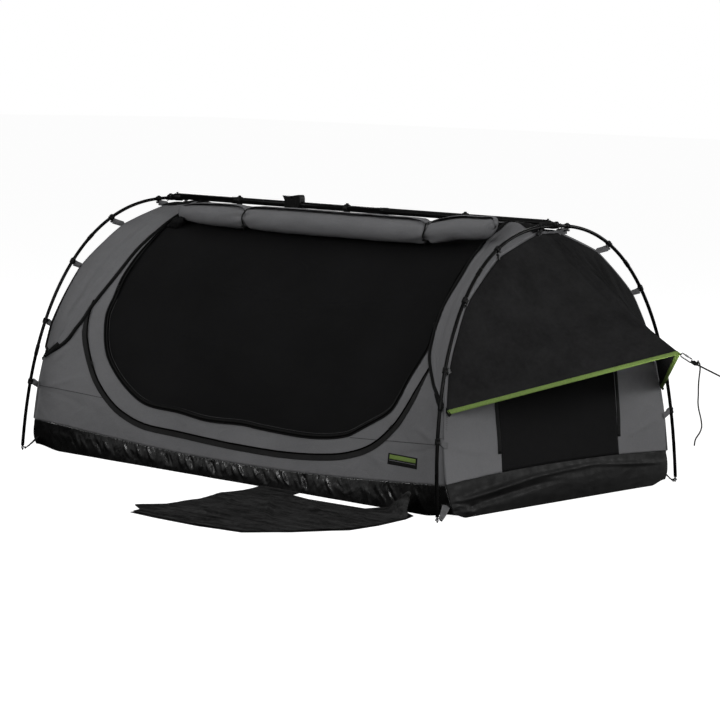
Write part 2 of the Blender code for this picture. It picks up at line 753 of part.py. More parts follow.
def build_hoop(side, word):
    steps = 44
    points = []
    low_angle = acos((HOOP_FOOT_Z / HOOP_HEIGHT) ** (HOOP_SQUARENESS / 2))
    for i in range(steps + 1):
        points.append(hoop_point(side, low_angle * (2 * i / steps - 1)))
    hoop = curve_to_mesh(tube("hoop_" + word, points, POLE_RADIUS, pole_mat))
    for leg in (-1, 1):
        for number, clip_angle in enumerate(CLIP_ANGLES):
            angle = leg * clip_angle
            centre = hoop_point(side, angle)
            along = (hoop_point(side, angle + 0.01) - hoop_point(side, angle - 0.01)).normalized()
            inward = hoop_inward(angle)
            name = "clip_%s_%d_%d" % (word, leg, number)
            half = along * CLIP_LENGTH / 2
            collar = rod(name, centre - half, centre + half, POLE_RADIUS + CLIP_WALL, plastic_mat, 10)
            boolean(hoop, as_guide(collar), "UNION")
            turn = Matrix((Vector((1, 0, 0)), along, inward)).transposed()
            tongue = box(name + "_tongue", (TONGUE_THICK, TONGUE_WIDTH, CLIP_REACH - TONGUE_START), plastic_mat,
                         centre + inward * ((CLIP_REACH + TONGUE_START) / 2), turn)
            boolean(hoop, as_guide(tongue), "UNION")


def build_foot(side, facing, word):
    foot = hoop_point(side, facing * acos((HOOP_FOOT_Z / HOOP_HEIGHT) ** (HOOP_SQUARENESS / 2)))
    pin = rod("foot_pin_" + word, (foot.x, foot.y, 0), (foot.x, foot.y, HOOP_FOOT_Z - 2 * SEAM), PIN_RADIUS,
              steel_mat, 10)
    reach = RING_RADIUS - PIN_RADIUS - RING_WIRE / 2
    centre = Vector((foot.x, foot.y - facing * reach, RING_Z))
    ring_points = [centre + Vector((cos(t) * RING_RADIUS, sin(t) * RING_RADIUS, 0))
                   for t in (tau * i / 16 for i in range(16))]
    ring = curve_to_mesh(tube("ring_" + word, ring_points, RING_WIRE, steel_mat, cyclic=True, sides=1))
    boolean(pin, as_guide(ring), "UNION")
    start = centre.y - facing * (RING_RADIUS + RING_WIRE + GAP)
    finish = facing * (TUB_HALF_WIDTH + STRAP_END + CORNER_PULL)

    def place(u, v):
        width = STRAP_NARROW + (STRAP_WIDE - STRAP_NARROW) * v
        shift = (u - 0.5) * width - side * STRAP_SLANT * v
        return Vector((foot.x + shift, start + (finish - start) * v, RING_Z + STRAP_RISE * v))
    sheet("foot_strap_" + word, webbing_mat, 1, 2, place, STRAP_THICK, 0.0)


def build_ridge():
    rod("ridge_pole", (-RIDGE_HALF_LENGTH, 0, RIDGE_Z), (RIDGE_HALF_LENGTH, 0, RIDGE_Z), RIDGE_RADIUS,
        pole_mat, 16)
    bore = RIDGE_RADIUS + SEAM
    outline = [(-0.352, RIDGE_Z + 0.034), (-0.338, RIDGE_Z + 0.013), (-0.341, RIDGE_Z - 0.004),
               (-0.333, RIDGE_Z - 0.018), (-0.262, RIDGE_Z - 0.018), (-0.257, RIDGE_Z + 0.010),
               (-0.259, RIDGE_Z + 0.032), (-0.266, RIDGE_Z + 0.040), (-0.292, RIDGE_Z + 0.036)]
    bracket = prism("ridge_bracket", outline, "Y", -0.016, 0.016, plastic_mat)
    boolean(bracket, as_guide(rod("bracket_bore", (-0.4, 0, RIDGE_Z), (-0.2, 0, RIDGE_Z), bore, None, 16)))
    hole = rod("bracket_hole", (-0.300, -0.03, RIDGE_Z + 0.026), (-0.300, 0.03, RIDGE_Z + 0.026), 0.005,
               None, 12)
    boolean(bracket, as_guide(hole))
    for word, x in (("left", -0.60), ("middle", -0.02), ("right", 0.57)):
        clip = rod("ridge_clip_" + word, (x - CLIP_LENGTH / 2, 0, RIDGE_Z), (x + CLIP_LENGTH / 2, 0, RIDGE_Z),
                   RIDGE_RADIUS + CLIP_WALL, plastic_mat, 16)
        clip_bore = rod("clip_bore_" + word, (x - 0.03, 0, RIDGE_Z), (x + 0.03, 0, RIDGE_Z), bore, None, 16)
        saddle = box("clip_saddle_" + word, (0.018, 0.020, 0.010), plastic_mat,
                     (x, 0, MID_TOP_Z + SEAM + 0.005))
        boolean(clip, as_guide(saddle), "UNION")
        boolean(clip, as_guide(clip_bore))
    for side, word in ((-1, "left"), (1, "right")):
        hoop_x = side * end_x(HOOP_HEIGHT)
        inner = side * (RIDGE_HALF_LENGTH - HUB_OVERLAP)
        outer = hoop_x + side * HUB_NOSE
        hub = rod("hub_" + word, (inner, 0, RIDGE_Z - HUB_DROP), (outer, 0, RIDGE_Z - HUB_DROP), HUB_RADIUS,
                  plastic_mat, 16)
        pole_bore = rod("hub_bore_" + word, (inner - side * 0.02, 0, RIDGE_Z),
                        (side * (RIDGE_HALF_LENGTH + GAP), 0, RIDGE_Z), bore, None, 16)
        hoop_bore = rod("hub_cross_bore_" + word, (hoop_x, -0.05, HOOP_HEIGHT), (hoop_x, 0.05, HOOP_HEIGHT),
                        POLE_RADIUS + SEAM, None, 16)
        boolean(hub, as_guide(pole_bore))
        boolean(hub, as_guide(hoop_bore))
        loop_centre = Vector((outer + side * 0.0105, 0, RIDGE_Z - 0.010))
        loop = [loop_centre + Vector((cos(t) * 0.008, 0, sin(t) * 0.011))
                for t in (tau * i / 16 for i in range(16))]
        tube("hub_loop_" + word, loop, LOOP_CORD, piping_mat, cyclic=True, sides=1)


def roll_radius(x):
    share = x / ROLL_HALF_LENGTH
    radius = ROLL_RADIUS + (ROLL_END_RADIUS - ROLL_RADIUS) * share ** 4
    for place in TIE_PLACES:
        near = max(0.0, 1 - abs(x - place) / 0.10)
        radius -= TIE_CINCH * near ** 2
    return radius


def roll_centre(x):
    share = x / cloth_end_x(0.93)
    angle = -tunnel_angle_at_width(share, ROLL_SEAT_Y)
    seat = tunnel_point(share, angle)
    full = ROLL_RADIUS + (ROLL_END_RADIUS - ROLL_RADIUS) * (x / ROLL_HALF_LENGTH) ** 4
    return seat + tunnel_normal(share, angle) * (full + 0.0001)


def roll_rings(bm, places, extra):
    """A tube of quads around the roll through the given distances along it."""
    sides = 12
    rings = []
    for x in places:
        centre = roll_centre(x)
        radius = roll_radius(x) + extra
        rings.append([bm.verts.new((centre.x, centre.y + radius * cos(tau * k / sides),
                                    centre.z + radius * sin(tau * k / sides))) for k in range(sides)])
    for near, far in zip(rings, rings[1:]):
        for k in range(sides):
            bm.faces.new((near[k], near[(k + 1) % sides], far[(k + 1) % sides], far[k]))
    return rings


def build_roll():
    spots = sorted({round(-ROLL_HALF_LENGTH + 2 * ROLL_HALF_LENGTH * i / 16, 4) for i in range(17)}
                   | {place + step for place in TIE_PLACES for step in (-TIE_WIDTH / 2, TIE_WIDTH / 2)})
    bm = bmesh.new()
    rings = roll_rings(bm, spots, 0.0)
    bm.faces.new(rings[0])
    bm.faces.new(rings[-1])
    mesh_object("door_roll", bm, canvas_mat)
    for word, place in zip(("left", "right"), TIE_PLACES):
        bm = bmesh.new()
        roll_rings(bm, (place - TIE_WIDTH / 2, place + TIE_WIDTH / 2), GAP)
        band = mesh_object("door_tie_" + word, bm, piping_mat)
        solidify = band.modifiers.new("webbing_thickness", "SOLIDIFY")
        solidify.thickness = TIE_THICK
        solidify.offset = 1.0


def smooth_route(points, spacing):
    """Points of a Catmull-Rom curve through the route, about one every spacing."""
    route = [Vector(p) for p in points]
    ends = [2 * route[0] - route[1]] + route + [2 * route[-1] - route[-2]]
    dense = []
    for before, start, finish, after in zip(ends, ends[1:], ends[2:], ends[3:]):
        pieces = max(1, round((finish - start).length / spacing))
        for i in range(pieces):
            t = i / pieces
            dense.append(0.5 * (2 * start + (finish - before) * t
                                + (2 * before - 5 * start + 4 * finish - after) * t ** 2
                                + (3 * start - before - 3 * finish + after) * t ** 3))
    dense.append(route[-1])
    return dense


def build_guy():
    direction = Vector((LINK_LENGTH, 0, -LINK_DROP)).normalized()
    across = Vector((0, 1, 0))
    upright = across.cross(direction)
    if upright.z < 0:
        upright.negate()
    start = AWNING_TIP + direction * (GAP + 0.0001)
    straight = LINK_LENGTH / 2 - LINK_RADIUS
    middle = start + direction * (LINK_LENGTH / 2 + LINK_WIRE)
    loop = []
    for i in range(20):
        t = tau * i / 20
        shift = straight if cos(t) > 0 else -straight
        loop.append(middle + direction * (shift + LINK_RADIUS * cos(t)) + upright * (LINK_RADIUS * sin(t)))
    tube("guy_link", loop, LINK_WIRE, steel_mat, cyclic=True, sides=2)
    slider_start = middle + direction * (LINK_LENGTH / 2 + LINK_WIRE + SEAM)
    slider_end = slider_start + direction * SLIDER_LENGTH
    turn = Matrix((direction, across, direction.cross(across))).transposed()
    box("guy_slider", (SLIDER_LENGTH, SLIDER_WIDTH, SLIDER_THICK), plastic_mat, (slider_start + slider_end) / 2, turn)
    peg_top = Vector((PEG_X, PEG_Y, PEG_HEIGHT - HOOK_RADIUS - PEG_RADIUS - 0.008))
    rope_start = slider_end + direction * SEAM
    along = (peg_top - rope_start).normalized()
    ring_radius = PEG_RADIUS + SEAM + ROPE_RADIUS
    rope_end = peg_top - along * (ring_radius - 0.0005)
    rope = rod("guy_rope", rope_start, rope_end, ROPE_RADIUS, piping_mat, 10)
    eye = [peg_top + Vector((cos(t) * ring_radius, sin(t) * ring_radius, -0.3 * cos(t) * ring_radius))
           for t in (tau * i / 16 for i in range(16))]
    eye_tube = curve_to_mesh(tube("rope_eye", eye, ROPE_RADIUS, piping_mat, cyclic=True, sides=2))
    boolean(rope, as_guide(eye_tube), "UNION")
    shoulder = Vector((PEG_X, PEG_Y, PEG_HEIGHT - HOOK_RADIUS - PEG_RADIUS))
    peg = [Vector((PEG_X, PEG_Y, 0)), shoulder]
    for i in range(1, 9):
        t = pi * i / 8
        peg.append(shoulder + Vector((HOOK_RADIUS * (1 - cos(t)), 0, HOOK_RADIUS * sin(t))))
    peg.append(peg[-1] + Vector((0, 0, -HOOK_RADIUS)))
    tube("guy_peg", peg, PEG_RADIUS, steel_mat, sides=2)
    tail_start = slider_end + direction * GAP - across * TAIL_SHIFT
    route = [tail_start, tail_start + direction * 0.004] + TAIL_ROUTE
    tube("guy_tail", smooth_route(route, 0.010), ROPE_RADIUS, piping_mat, sides=2)


def build_mat():
    gear_mat = prism("gear_mat", MAT_OUTLINE, "Z", 0.0, MAT_THICK, awning_mat)
    flap = prism("mat_flap", MAT_FLAP, "Y", MAT_FLAP_Y, MAT_FLAP_Y + MAT_THICK, awning_mat)
    boolean(gear_mat, as_guide(flap), "UNION")


build_tunnel()
build_piping()
build_tub()
for side, word in ((-1, "left"), (1, "right")):
    build_end(side, word)
    build_hoop(side, word)
    for facing, long_side in ((-1, "front"), (1, "back")):
        build_foot(side, facing, word + "_" + long_side)
build_awnings()
build_ridge()
build_roll()
build_guy()
build_mat()
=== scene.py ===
import json
from math import acos, asin, cos, exp, hypot, pi, radians, sin, tau
import bmesh
import bpy
from mathutils import Matrix, Vector, noise

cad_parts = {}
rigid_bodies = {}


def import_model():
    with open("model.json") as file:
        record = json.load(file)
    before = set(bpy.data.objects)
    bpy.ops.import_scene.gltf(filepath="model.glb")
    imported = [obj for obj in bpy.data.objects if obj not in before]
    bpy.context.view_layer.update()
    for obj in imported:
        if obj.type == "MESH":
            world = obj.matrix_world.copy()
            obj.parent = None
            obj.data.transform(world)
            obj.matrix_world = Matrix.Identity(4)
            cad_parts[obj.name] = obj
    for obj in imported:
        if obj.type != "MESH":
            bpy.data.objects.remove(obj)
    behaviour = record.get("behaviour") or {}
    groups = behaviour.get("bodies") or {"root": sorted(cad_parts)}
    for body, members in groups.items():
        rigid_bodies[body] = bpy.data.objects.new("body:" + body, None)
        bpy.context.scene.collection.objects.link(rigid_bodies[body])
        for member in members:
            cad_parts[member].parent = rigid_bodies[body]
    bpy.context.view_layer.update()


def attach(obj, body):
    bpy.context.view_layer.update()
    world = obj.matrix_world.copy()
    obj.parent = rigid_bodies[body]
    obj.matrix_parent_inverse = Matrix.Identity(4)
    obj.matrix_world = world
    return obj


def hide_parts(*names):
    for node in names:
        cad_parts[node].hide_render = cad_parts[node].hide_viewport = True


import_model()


def make_camera():
    """The photograph's camera, solved from the places of the hoop clips and the feet."""
    yaw = radians(41.15)
    pitch = radians(-6.24)
    roll = radians(1.70)
    forward = Vector((-sin(yaw) * cos(pitch), cos(yaw) * cos(pitch), sin(pitch)))
    level = Vector((cos(yaw), sin(yaw), 0.0))
    upright = level.cross(forward)
    right = level * cos(roll) + upright * sin(roll)
    up = upright * cos(roll) - level * sin(roll)
    data = bpy.data.cameras.new("camera")
    data.sensor_width = 36.0
    data.lens = 127.9
    data.clip_end = 200.0
    camera = bpy.data.objects.new("camera", data)
    matrix = Matrix((right, up, -forward)).transposed().to_4x4()
    matrix.translation = Vector((6.574, -7.443, 1.505))
    camera.matrix_world = matrix
    bpy.context.scene.collection.objects.link(camera)
    bpy.context.scene.camera = camera


make_camera()

# Sizes that part.py has too.
GAP = 0.0003
SEAM = 0.0006
FOOT_X, FOOT_Y, HOOP_HEIGHT, HOOP_SQUARENESS, HOOP_LEAN = 1.075, 0.72, 1.0, 2.35, 0.09
CLOTH_FOOT_X, CLOTH_LEAN = 1.0797, 0.128
HOOP_FOOT_Z, RIDGE_RADIUS, RIDGE_Z, RIDGE_HALF_LENGTH = 0.02, 0.0125, 1.0085, 0.958
CLIP_ANGLES = [0.075, 0.42, 0.77, 1.09, 1.347]
END_HALF_WIDTH, MID_HALF_WIDTH, END_TOP_Z, MID_TOP_Z = 0.670, 0.622, 0.982, 0.984
END_SIDE_POWER, END_TOP_POWER, MID_SIDE_POWER, MID_TOP_POWER, BLEND_POWER = 1.66, 3.35, 1.31, 2.13, 6
CANVAS, ROOF_HALF_WIDTH, END_SEAM = 0.003, 0.05, 0.0024
TUB_INSET, FLOOR_GAP, TUB_HALF_WIDTH, TUB_LONG_TOP, TUB_CORNER_RISE = 0.004, 0.001, 0.632, 0.068, 0.055
TUB_END_TOP, TUB_END_DROP, TUB_BULGE, CORNER_PULL = 0.145, 0.018, 0.012, 0.012
PIPING_X, PIPING_TOP, HOOD_BOTTOM, PIPING_RADIUS = 0.806, 0.95, 0.378, 0.004
ZIP_HALF_WIDTH, ZIP_BOTTOM, ZIP_START, ZIP_RUN_UP, DOOR_CORNER = 0.89, 0.148, 0.12, 0.075, 0.42
TAPE_WIDTH, ROLL_SEAT_Y, TIE_PLACES, TIE_CINCH = 0.018, 0.145, [-0.375, 0.55], 0.007
WINDOW_HALF_WIDTH, WINDOW_TOP, FLAP_TAPE_BOTTOM, TAB_WIDTH = 0.355, 0.62, 0.206, 0.022
AWNING_INSET, AWNING_CORNER_Z, AWNING_SAG = 0.005, 0.38, 0.016
AWNING_TIP = Vector((1.558, 0.0, 0.586))
CLOSED_AWNING_TIP_Z, CLOSED_AWNING_SWING = 0.30, 0.060
ROPE_RADIUS = 0.002
LINK_LENGTH, LINK_DROP, LINK_WIRE, LINK_RADIUS = 0.050, 0.022, 0.0018, 0.007
SLIDER_LENGTH, TAIL_SHIFT = 0.022, 0.007
TAIL_ROUTE = [
    (1.638, -0.009, 0.570), (1.646, -0.010, 0.560), (1.648, -0.009, 0.540),
    (1.645, -0.009, 0.506), (1.645, -0.010, 0.475), (1.646, -0.010, 0.451), (1.646, -0.010, 0.425),
    (1.650, -0.009, 0.400), (1.660, -0.008, 0.368), (1.665, -0.009, 0.340), (1.658, -0.011, 0.318),
    (1.646, -0.012, 0.300), (1.641, -0.012, 0.285), (1.640, -0.012, 0.272),
]

# Sizes that only the scene has: the thickness of cloths and mesh, and the pole and the rope as they look.
CLOTH_THICK, MESH_THICK = 0.0012, 0.0008
POLE_LOOK, ROPE_LOOK = 0.0066, 0.0027
SIDES = ((-1, "left"), (1, "right"))


# Materials.
class Shade:
    """A material's nodes, built up one call at a time."""

    def __init__(self, name, roughness, metallic=0.0, specular=0.5):
        self.mat = bpy.data.materials.new(name)
        self.mat.use_nodes = True
        self.nodes = self.mat.node_tree.nodes
        self.links = self.mat.node_tree.links
        self.shader = self.nodes["Principled BSDF"]
        self.shader.inputs["Roughness"].default_value = roughness
        self.shader.inputs["Metallic"].default_value = metallic
        self.shader.inputs["Specular IOR Level"].default_value = specular
        self.place = self.nodes.new("ShaderNodeTexCoord").outputs["Object"]
        self.height = None

    def node(self, kind, **settings):
        made = self.nodes.new(kind)
        for key, value in settings.items():
            setattr(made, key, value)
        return made

    def mix(self, a, share_a, b, share_b):
        return self.math("ADD", self.math("MULTIPLY", a, share_a), self.math("MULTIPLY", b, share_b))

    def feed(self, socket, value):
        if isinstance(value, bpy.types.NodeSocket):
            self.links.new(value, socket)
        else:
            socket.default_value = value

    def stretched(self, scale, turn=(0, 0, 0)):
        mapping = self.node("ShaderNodeMapping")
        self.feed(mapping.inputs["Vector"], self.place)
        mapping.inputs["Scale"].default_value = scale
        mapping.inputs["Rotation"].default_value = turn
        return mapping.outputs["Vector"]

    def noise(self, scale, detail=3.0, roughness=0.5, distortion=0.0, vector=None):
        made = self.node("ShaderNodeTexNoise")
        self.feed(made.inputs["Vector"], vector or self.place)
        made.inputs["Scale"].default_value = scale
        made.inputs["Detail"].default_value = detail
        made.inputs["Roughness"].default_value = roughness
        made.inputs["Distortion"].default_value = distortion
        return made.outputs["Fac"]

    def wave(self, scale, direction, vector):
        made = self.node("ShaderNodeTexWave", bands_direction=direction)
        self.feed(made.inputs["Vector"], vector)
        made.inputs["Scale"].default_value = scale
        return made.outputs["Fac"]

    def math(self, operation, a, b):
        made = self.node("ShaderNodeMath", operation=operation)
        self.feed(made.inputs[0], a)
        self.feed(made.inputs[1], b)
        return made.outputs[0]

    def remap(self, value, low, high, start, finish):
        made = self.node("ShaderNodeMapRange")
        for socket, number in zip(made.inputs, (value, low, high, start, finish)):
            self.feed(socket, number)
        return made.outputs[0]

    def ramp(self, value, stops):
        made = self.node("ShaderNodeValToRGB")
        self.feed(made.inputs["Fac"], value)
        elements = made.color_ramp.elements
        while len(elements) < len(stops):
            elements.new(0.5)
        for element, (at, colour) in zip(elements, stops):
            element.position = at
            element.color = (*colour, 1.0)
        return made.outputs["Color"]

    def colour(self, value):
        self.feed(self.shader.inputs["Base Color"], value)

    def rough(self, value):
        self.feed(self.shader.inputs["Roughness"], value)

    def bump(self, height, distance, strength=1.0):
        made = self.node("ShaderNodeBump")
        made.inputs["Distance"].default_value = distance
        made.inputs["Strength"].default_value = strength
        self.feed(made.inputs["Height"], height)
        if self.height is not None:
            self.links.new(self.height, made.inputs["Normal"])
        self.height = made.outputs["Normal"]
        self.feed(self.shader.inputs["Normal"], self.height)


def grey(level, tint=0.0):
    return (level, level, level * (1 + tint))


def woven(shade, pitch, depth, slant=0.0):
    """Over-and-under threads as bump: two crossed waves of one pitch in metres."""
    scale = 1 / (pitch * tau) * pi
    vector = shade.stretched((1, 1, 1), (slant, slant, slant))
    warp = shade.wave(scale, "X", vector)
    weft = shade.wave(scale, "Z", vector)
    cross = shade.wave(scale, "Y", vector)
    streak_shade_and_grain = shade.math("MAXIMUM", shade.math("MULTIPLY", warp, weft), shade.math("MULTIPLY", cross, 0.6))
    shade.bump(streak_shade_and_grain, depth, 0.6)


# Each cloth's name, level of grey, tint, spread, roughness, thread pitch, patch and speck scales, and gloss.
CLOTHS = {
    "canvas": ("canvas_cloth", 0.118, 0.035, 0.10, 0.92, 0.0011, 5.0, 160.0, 0.1),
    "awning": ("charcoal_cloth", 0.0120, 0.02, 0.35, 0.85, 0.0013, 9.0, 60.0, 0.05),
    "webbing": ("grey_webbing", 0.100, 0.03, 0.14, 0.9, 0.0022, 30.0, 160.0, 0.1),
    "mat": ("mat_cloth", 0.0080, 0.0, 0.45, 0.88, 0.0013, 12.0, 60.0, 0.04),
    "tape": ("black_tape_weave", 0.0048, 0.0, 0.25, 0.7, 0.0012, 12.0, 160.0, 0.1),
    "cord": ("black_braid", 0.009, 0.0, 0.3, 0.75, 0.0015, 40.0, 160.0, 0.1),
    "flap": ("zip_flap_cloth", 0.0135, 0.0, 0.2, 0.85, 0.0012, 14.0, 160.0, 0.1),
    "strap": ("black_webbing", 0.008, 0.0, 0.2, 0.85, 0.0022, 30.0, 160.0, 0.1),
    "coil": ("black_coil", 0.0012, 0.0, 0.2, 0.8, 0.0010, 30.0, 160.0, 0.04),
    "thread": ("grey_thread", 0.045, 0.0, 0.2, 0.85, 0.0008, 40.0, 160.0, 0.1),
}

# Each hard material's name, roughness, metallic and specular; then the noise scale, two levels of grey and
# tint of its colour; the noise scale, detail, least and most of its roughness; and the scale, depth and
# strength of its grain.
HARD = {
    "pole": ("powder_coated_pole", 0.32, 0.0, 0.06, (35.0, 0.0014, 0.0026, 0.0), (20.0, 2.0, 0.26, 0.38),
             (300.0, 0.0001, 0.15)),
    "plastic": ("moulded_plastic", 0.5, 0.0, 0.10, (60.0, 0.0022, 0.0042, 0.0), (120.0, 2.0, 0.36, 0.54),
                (700.0, 0.0003, 0.5)),
    "steel": ("bright_plated_steel", 0.16, 1.0, 0.5, (50.0, 0.34, 0.48, 0.02), (90.0, 3.0, 0.10, 0.26),
              (400.0, 0.0002, 0.3)),
}


def cloth_material(name, level, tint, spread, roughness, pitch, patch, speck, gloss):
    shade = Shade(name, roughness, specular=gloss)
    mixed = shade.mix(shade.noise(patch, 4.0, 0.55), 0.65, shade.noise(speck, 2.0, 0.6), 0.35)
    shade.colour(shade.ramp(mixed, [(0.30, grey(level * (1 - spread), tint)),
                                    (0.70, grey(level * (1 + spread), tint))]))
    shade.bump(shade.noise(14.0, 3.0, 0.5, 0.6), 0.010, 0.45)
    woven(shade, pitch, 0.0004)
    return shade


def hard_material(name, roughness, metallic, specular, colour, rough, grain):
    shade = Shade(name, roughness, metallic, specular)
    scale, dark, light, tint = colour
    shade.colour(shade.ramp(shade.noise(scale, 3.0), [(0.3, grey(dark, tint)), (0.7, grey(light, tint))]))
    scale, detail, least, most = rough
    shade.rough(shade.remap(shade.noise(scale, detail), 0.3, 0.7, least, most))
    scale, depth, strength = grain
    shade.bump(shade.noise(scale, 2.0), depth, strength)
    return shade


def make_materials():
    shades = {look: cloth_material(*values) for look, values in CLOTHS.items()}
    shades.update((look, hard_material(*values)) for look, values in HARD.items())

    mat = shades["mat"]
    streaks = mat.noise(8.0, 6.0, 0.68, 0.5, mat.stretched((0.9, 4.0, 1.0), (0, 0, 0.35)))
    mat.bump(streaks, 0.012, 0.7)
    # The colour follows the same streaks as the bump, lighter on their ridges and darker between them:
    # painted shade and highlight along the wrinkles, mixed with a little fine tone of the cloth.
    streak_shade_and_grain = mat.mix(streaks, 0.75, mat.noise(90.0, 2.0), 0.25)
    mat.colour(mat.ramp(streak_shade_and_grain, [(0.40, grey(0.0050)), (0.60, grey(0.0310))]))

    green = shades["green"] = Shade("green_binding_weave", 0.8, specular=0.3)
    ribs = green.noise(220.0, 2.0, 0.6)
    green.colour(green.ramp(ribs, [(0.3, (0.098, 0.152, 0.034)), (0.7, (0.138, 0.206, 0.049))]))
    woven(green, 0.0014, 0.0005, 0.4)

    mesh = shades["mesh"] = Shade("insect_mesh_weave", 0.75, specular=0.06)
    mesh.colour(mesh.ramp(mesh.noise(3.0), [(0.3, grey(0.0038, 0.05)), (0.7, grey(0.0054, 0.05))]))
    woven(mesh, 0.0012, 0.0006)

    pvc = shades["pvc"] = Shade("glossy_pvc", 0.24, specular=0.42)
    slanted = pvc.stretched((1.0, 1.0, 0.55), (0, 0.6, 0))
    pvc.colour(pvc.ramp(pvc.noise(18.0, 3.0), [(0.3, grey(0.0030)), (0.75, grey(0.0052))]))
    pvc.rough(pvc.remap(pvc.noise(40.0, 3.0), 0.3, 0.7, 0.20, 0.40))
    pvc.bump(pvc.noise(15.0, 3.0, 0.5, 1.2, slanted), 0.010, 0.6)
    pvc.bump(pvc.noise(55.0, 3.0, 0.5, 0.8, slanted), 0.0022, 0.45)

    matt = shades["matt"] = Shade("matt_pvc", 0.6, specular=0.11)
    long_folds = matt.noise(5.0, 3.0, 0.5, 0.8, matt.stretched((1.0, 0.6, 2.0)))
    matt.colour(matt.ramp(matt.noise(14.0, 4.0), [(0.3, grey(0.0046)), (0.7, grey(0.0082))]))
    matt.rough(matt.remap(matt.noise(30.0, 2.0), 0.3, 0.7, 0.50, 0.70))
    matt.bump(long_folds, 0.008, 0.5)
    matt.bump(matt.noise(260.0, 2.0), 0.0006, 0.5)

    floor = shades["floor"] = Shade("pale_floor", 0.9, specular=0.0)
    floor.colour(floor.ramp(floor.noise(0.7, 2.0), [(0.3, grey(0.30)), (0.7, grey(0.32))]))
    floor.shader.inputs["Emission Color"].default_value = (1, 1, 1, 1)
    floor.shader.inputs["Emission Strength"].default_value = 0.975
    return {look: shade.mat for look, shade in shades.items()}


MATS = make_materials()


# Making pieces.
def add_piece(name, data, look, nodes=()):
    obj = bpy.data.objects.new(name, data)
    bpy.context.scene.collection.objects.link(obj)
    data.materials.append(MATS[look])
    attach(obj, "root")
    if nodes:
        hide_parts(*nodes)
    return obj


def mesh_piece(name, verts, faces, look, nodes=()):
    data = bpy.data.meshes.new(name)
    data.from_pydata([tuple(v) for v in verts], [], faces)
    data.update()
    data.polygons.foreach_set("use_smooth", [True] * len(data.polygons))
    return add_piece(name, data, look, nodes)


class Form:
    """The points and faces of a piece that is put together from tubes, bands, boxes and turned solids."""

    def __init__(self):
        self.verts = []
        self.faces = []

    def skin(self, base, count, size, closed=False, caps=True):
        """Joins rings of points, from number base on, round on themselves or with a face at each end."""
        for i in range(count if closed else count - 1):
            near = base + i * size
            far = base + (i + 1) % count * size
            for k in range(size):
                turn = (k + 1) % size
                self.faces.append((near + k, near + turn, far + turn, far + k))
        if caps and not closed:
            self.faces.append(tuple(base + k for k in reversed(range(size))))
            self.faces.append(tuple(base + (count - 1) * size + k for k in range(size)))

    def piece(self, name, look, nodes=()):
        return mesh_piece(name, self.verts, self.faces, look, nodes)


def thicken(obj, thickness, offset=-1.0):
    solid = obj.modifiers.new("cloth_thickness", "SOLIDIFY")
    solid.thickness = thickness
    solid.offset = offset
    return obj


def grid_faces(columns, rows):
    wide = columns + 1
    return [(j * wide + i, j * wide + i + 1, (j + 1) * wide + i + 1, (j + 1) * wide + i)
            for j in range(rows) for i in range(columns)]


SHEETS = {}


def measure_sheet(name, verts, faces, columns):
    """Keeps a sheet's greatest width and length and its area, measured over its surface."""
    across, along = {}, {}
    area = 0.0
    for number, face in faces:
        a, b, c, d = (Vector(verts[k]) for k in face)
        area += ((b - a).cross(c - a).length + (c - a).cross(d - a).length) / 2
        row, column = divmod(number, columns)
        across[row] = across.get(row, 0.0) + ((b - a).length + (c - d).length) / 2
        along[column] = along.get(column, 0.0) + ((d - a).length + (c - b).length) / 2
    SHEETS[name] = (max(across.values()), max(along.values()), area)


def cloth(name, look, columns, rows, place, thickness, offset=-1.0, nodes=()):
    """A grid of cloth laid over place(u, v)."""
    verts = [place(i / columns, j / rows) for j in range(rows + 1) for i in range(columns + 1)]
    faces = grid_faces(columns, rows)
    obj = mesh_piece(name, verts, faces, look, nodes)
    measure_sheet(name, verts, enumerate(faces), columns)
    return thicken(obj, thickness, offset)


def cut_cloth(name, look, columns, rows, flat, place, inside, outline, thickness, offset=-1.0, nodes=()):
    """A grid of cloth cut along an outline: flat() gives pattern points and place() puts them in space."""
    pattern = [flat(i / columns, j / rows) for j in range(rows + 1) for i in range(columns + 1)]
    kept, numbers = [], []
    dropped = set()
    for number, face in enumerate(grid_faces(columns, rows)):
        middle = (sum(pattern[k][0] for k in face) / 4, sum(pattern[k][1] for k in face) / 4)
        if inside(*middle):
            kept.append(face)
            numbers.append(number)
        else:
            dropped.update(face)
    used = sorted({k for face in kept for k in face})
    index = {k: n for n, k in enumerate(used)}
    verts = []
    for k in used:
        a, b = pattern[k]
        if k in dropped:
            a, b = nearest_on(outline, a, b)
        verts.append(place(a, b))
    faces = [tuple(index[k] for k in face) for face in kept]
    measure_sheet(name, verts, zip(numbers, faces), columns)
    return thicken(mesh_piece(name, verts, faces, look, nodes), thickness, offset)


def nearest_on(outline, a, b):
    best = None
    for (ax, ay), (bx, by) in zip(outline, outline[1:]):
        dx, dy = bx - ax, by - ay
        t = max(0.0, min(1.0, ((a - ax) * dx + (b - ay) * dy) / (dx * dx + dy * dy)))
        x, y = ax + dx * t, ay + dy * t
        far = (a - x) ** 2 + (b - y) ** 2
        if best is None or far < best[0]:
            best = (far, x, y)
    return best[1:]


def sweep(form, points, radius, sides=10, closed=False, normal=None):
    """Adds a tube along the points; radius may be a function of the share along it."""
    points = [Vector(p) for p in points]
    count = len(points)
    base = len(form.verts)
    side = None
    for i, point in enumerate(points):
        ahead = points[(i + 1) % count] if closed else points[min(i + 1, count - 1)]
        behind = points[i - 1] if closed else points[max(i - 1, 0)]
        along = (ahead - behind).normalized()
        if normal is not None:
            side = Vector(normal) - along * along.dot(Vector(normal))
        elif side is None:
            guess = Vector((0, 0, 1)) if abs(along.z) < 0.9 else Vector((1, 0, 0))
            side = guess - along * along.dot(guess)
        else:
            side = side - along * along.dot(side)
        side.normalize()
        other = along.cross(side)
        size = radius(i / max(1, count - 1)) if callable(radius) else radius
        for k in range(sides):
            t = tau * k / sides
            form.verts.append(point + side * (size * cos(t)) + other * (size * sin(t)))
    form.skin(base, count, sides, closed)


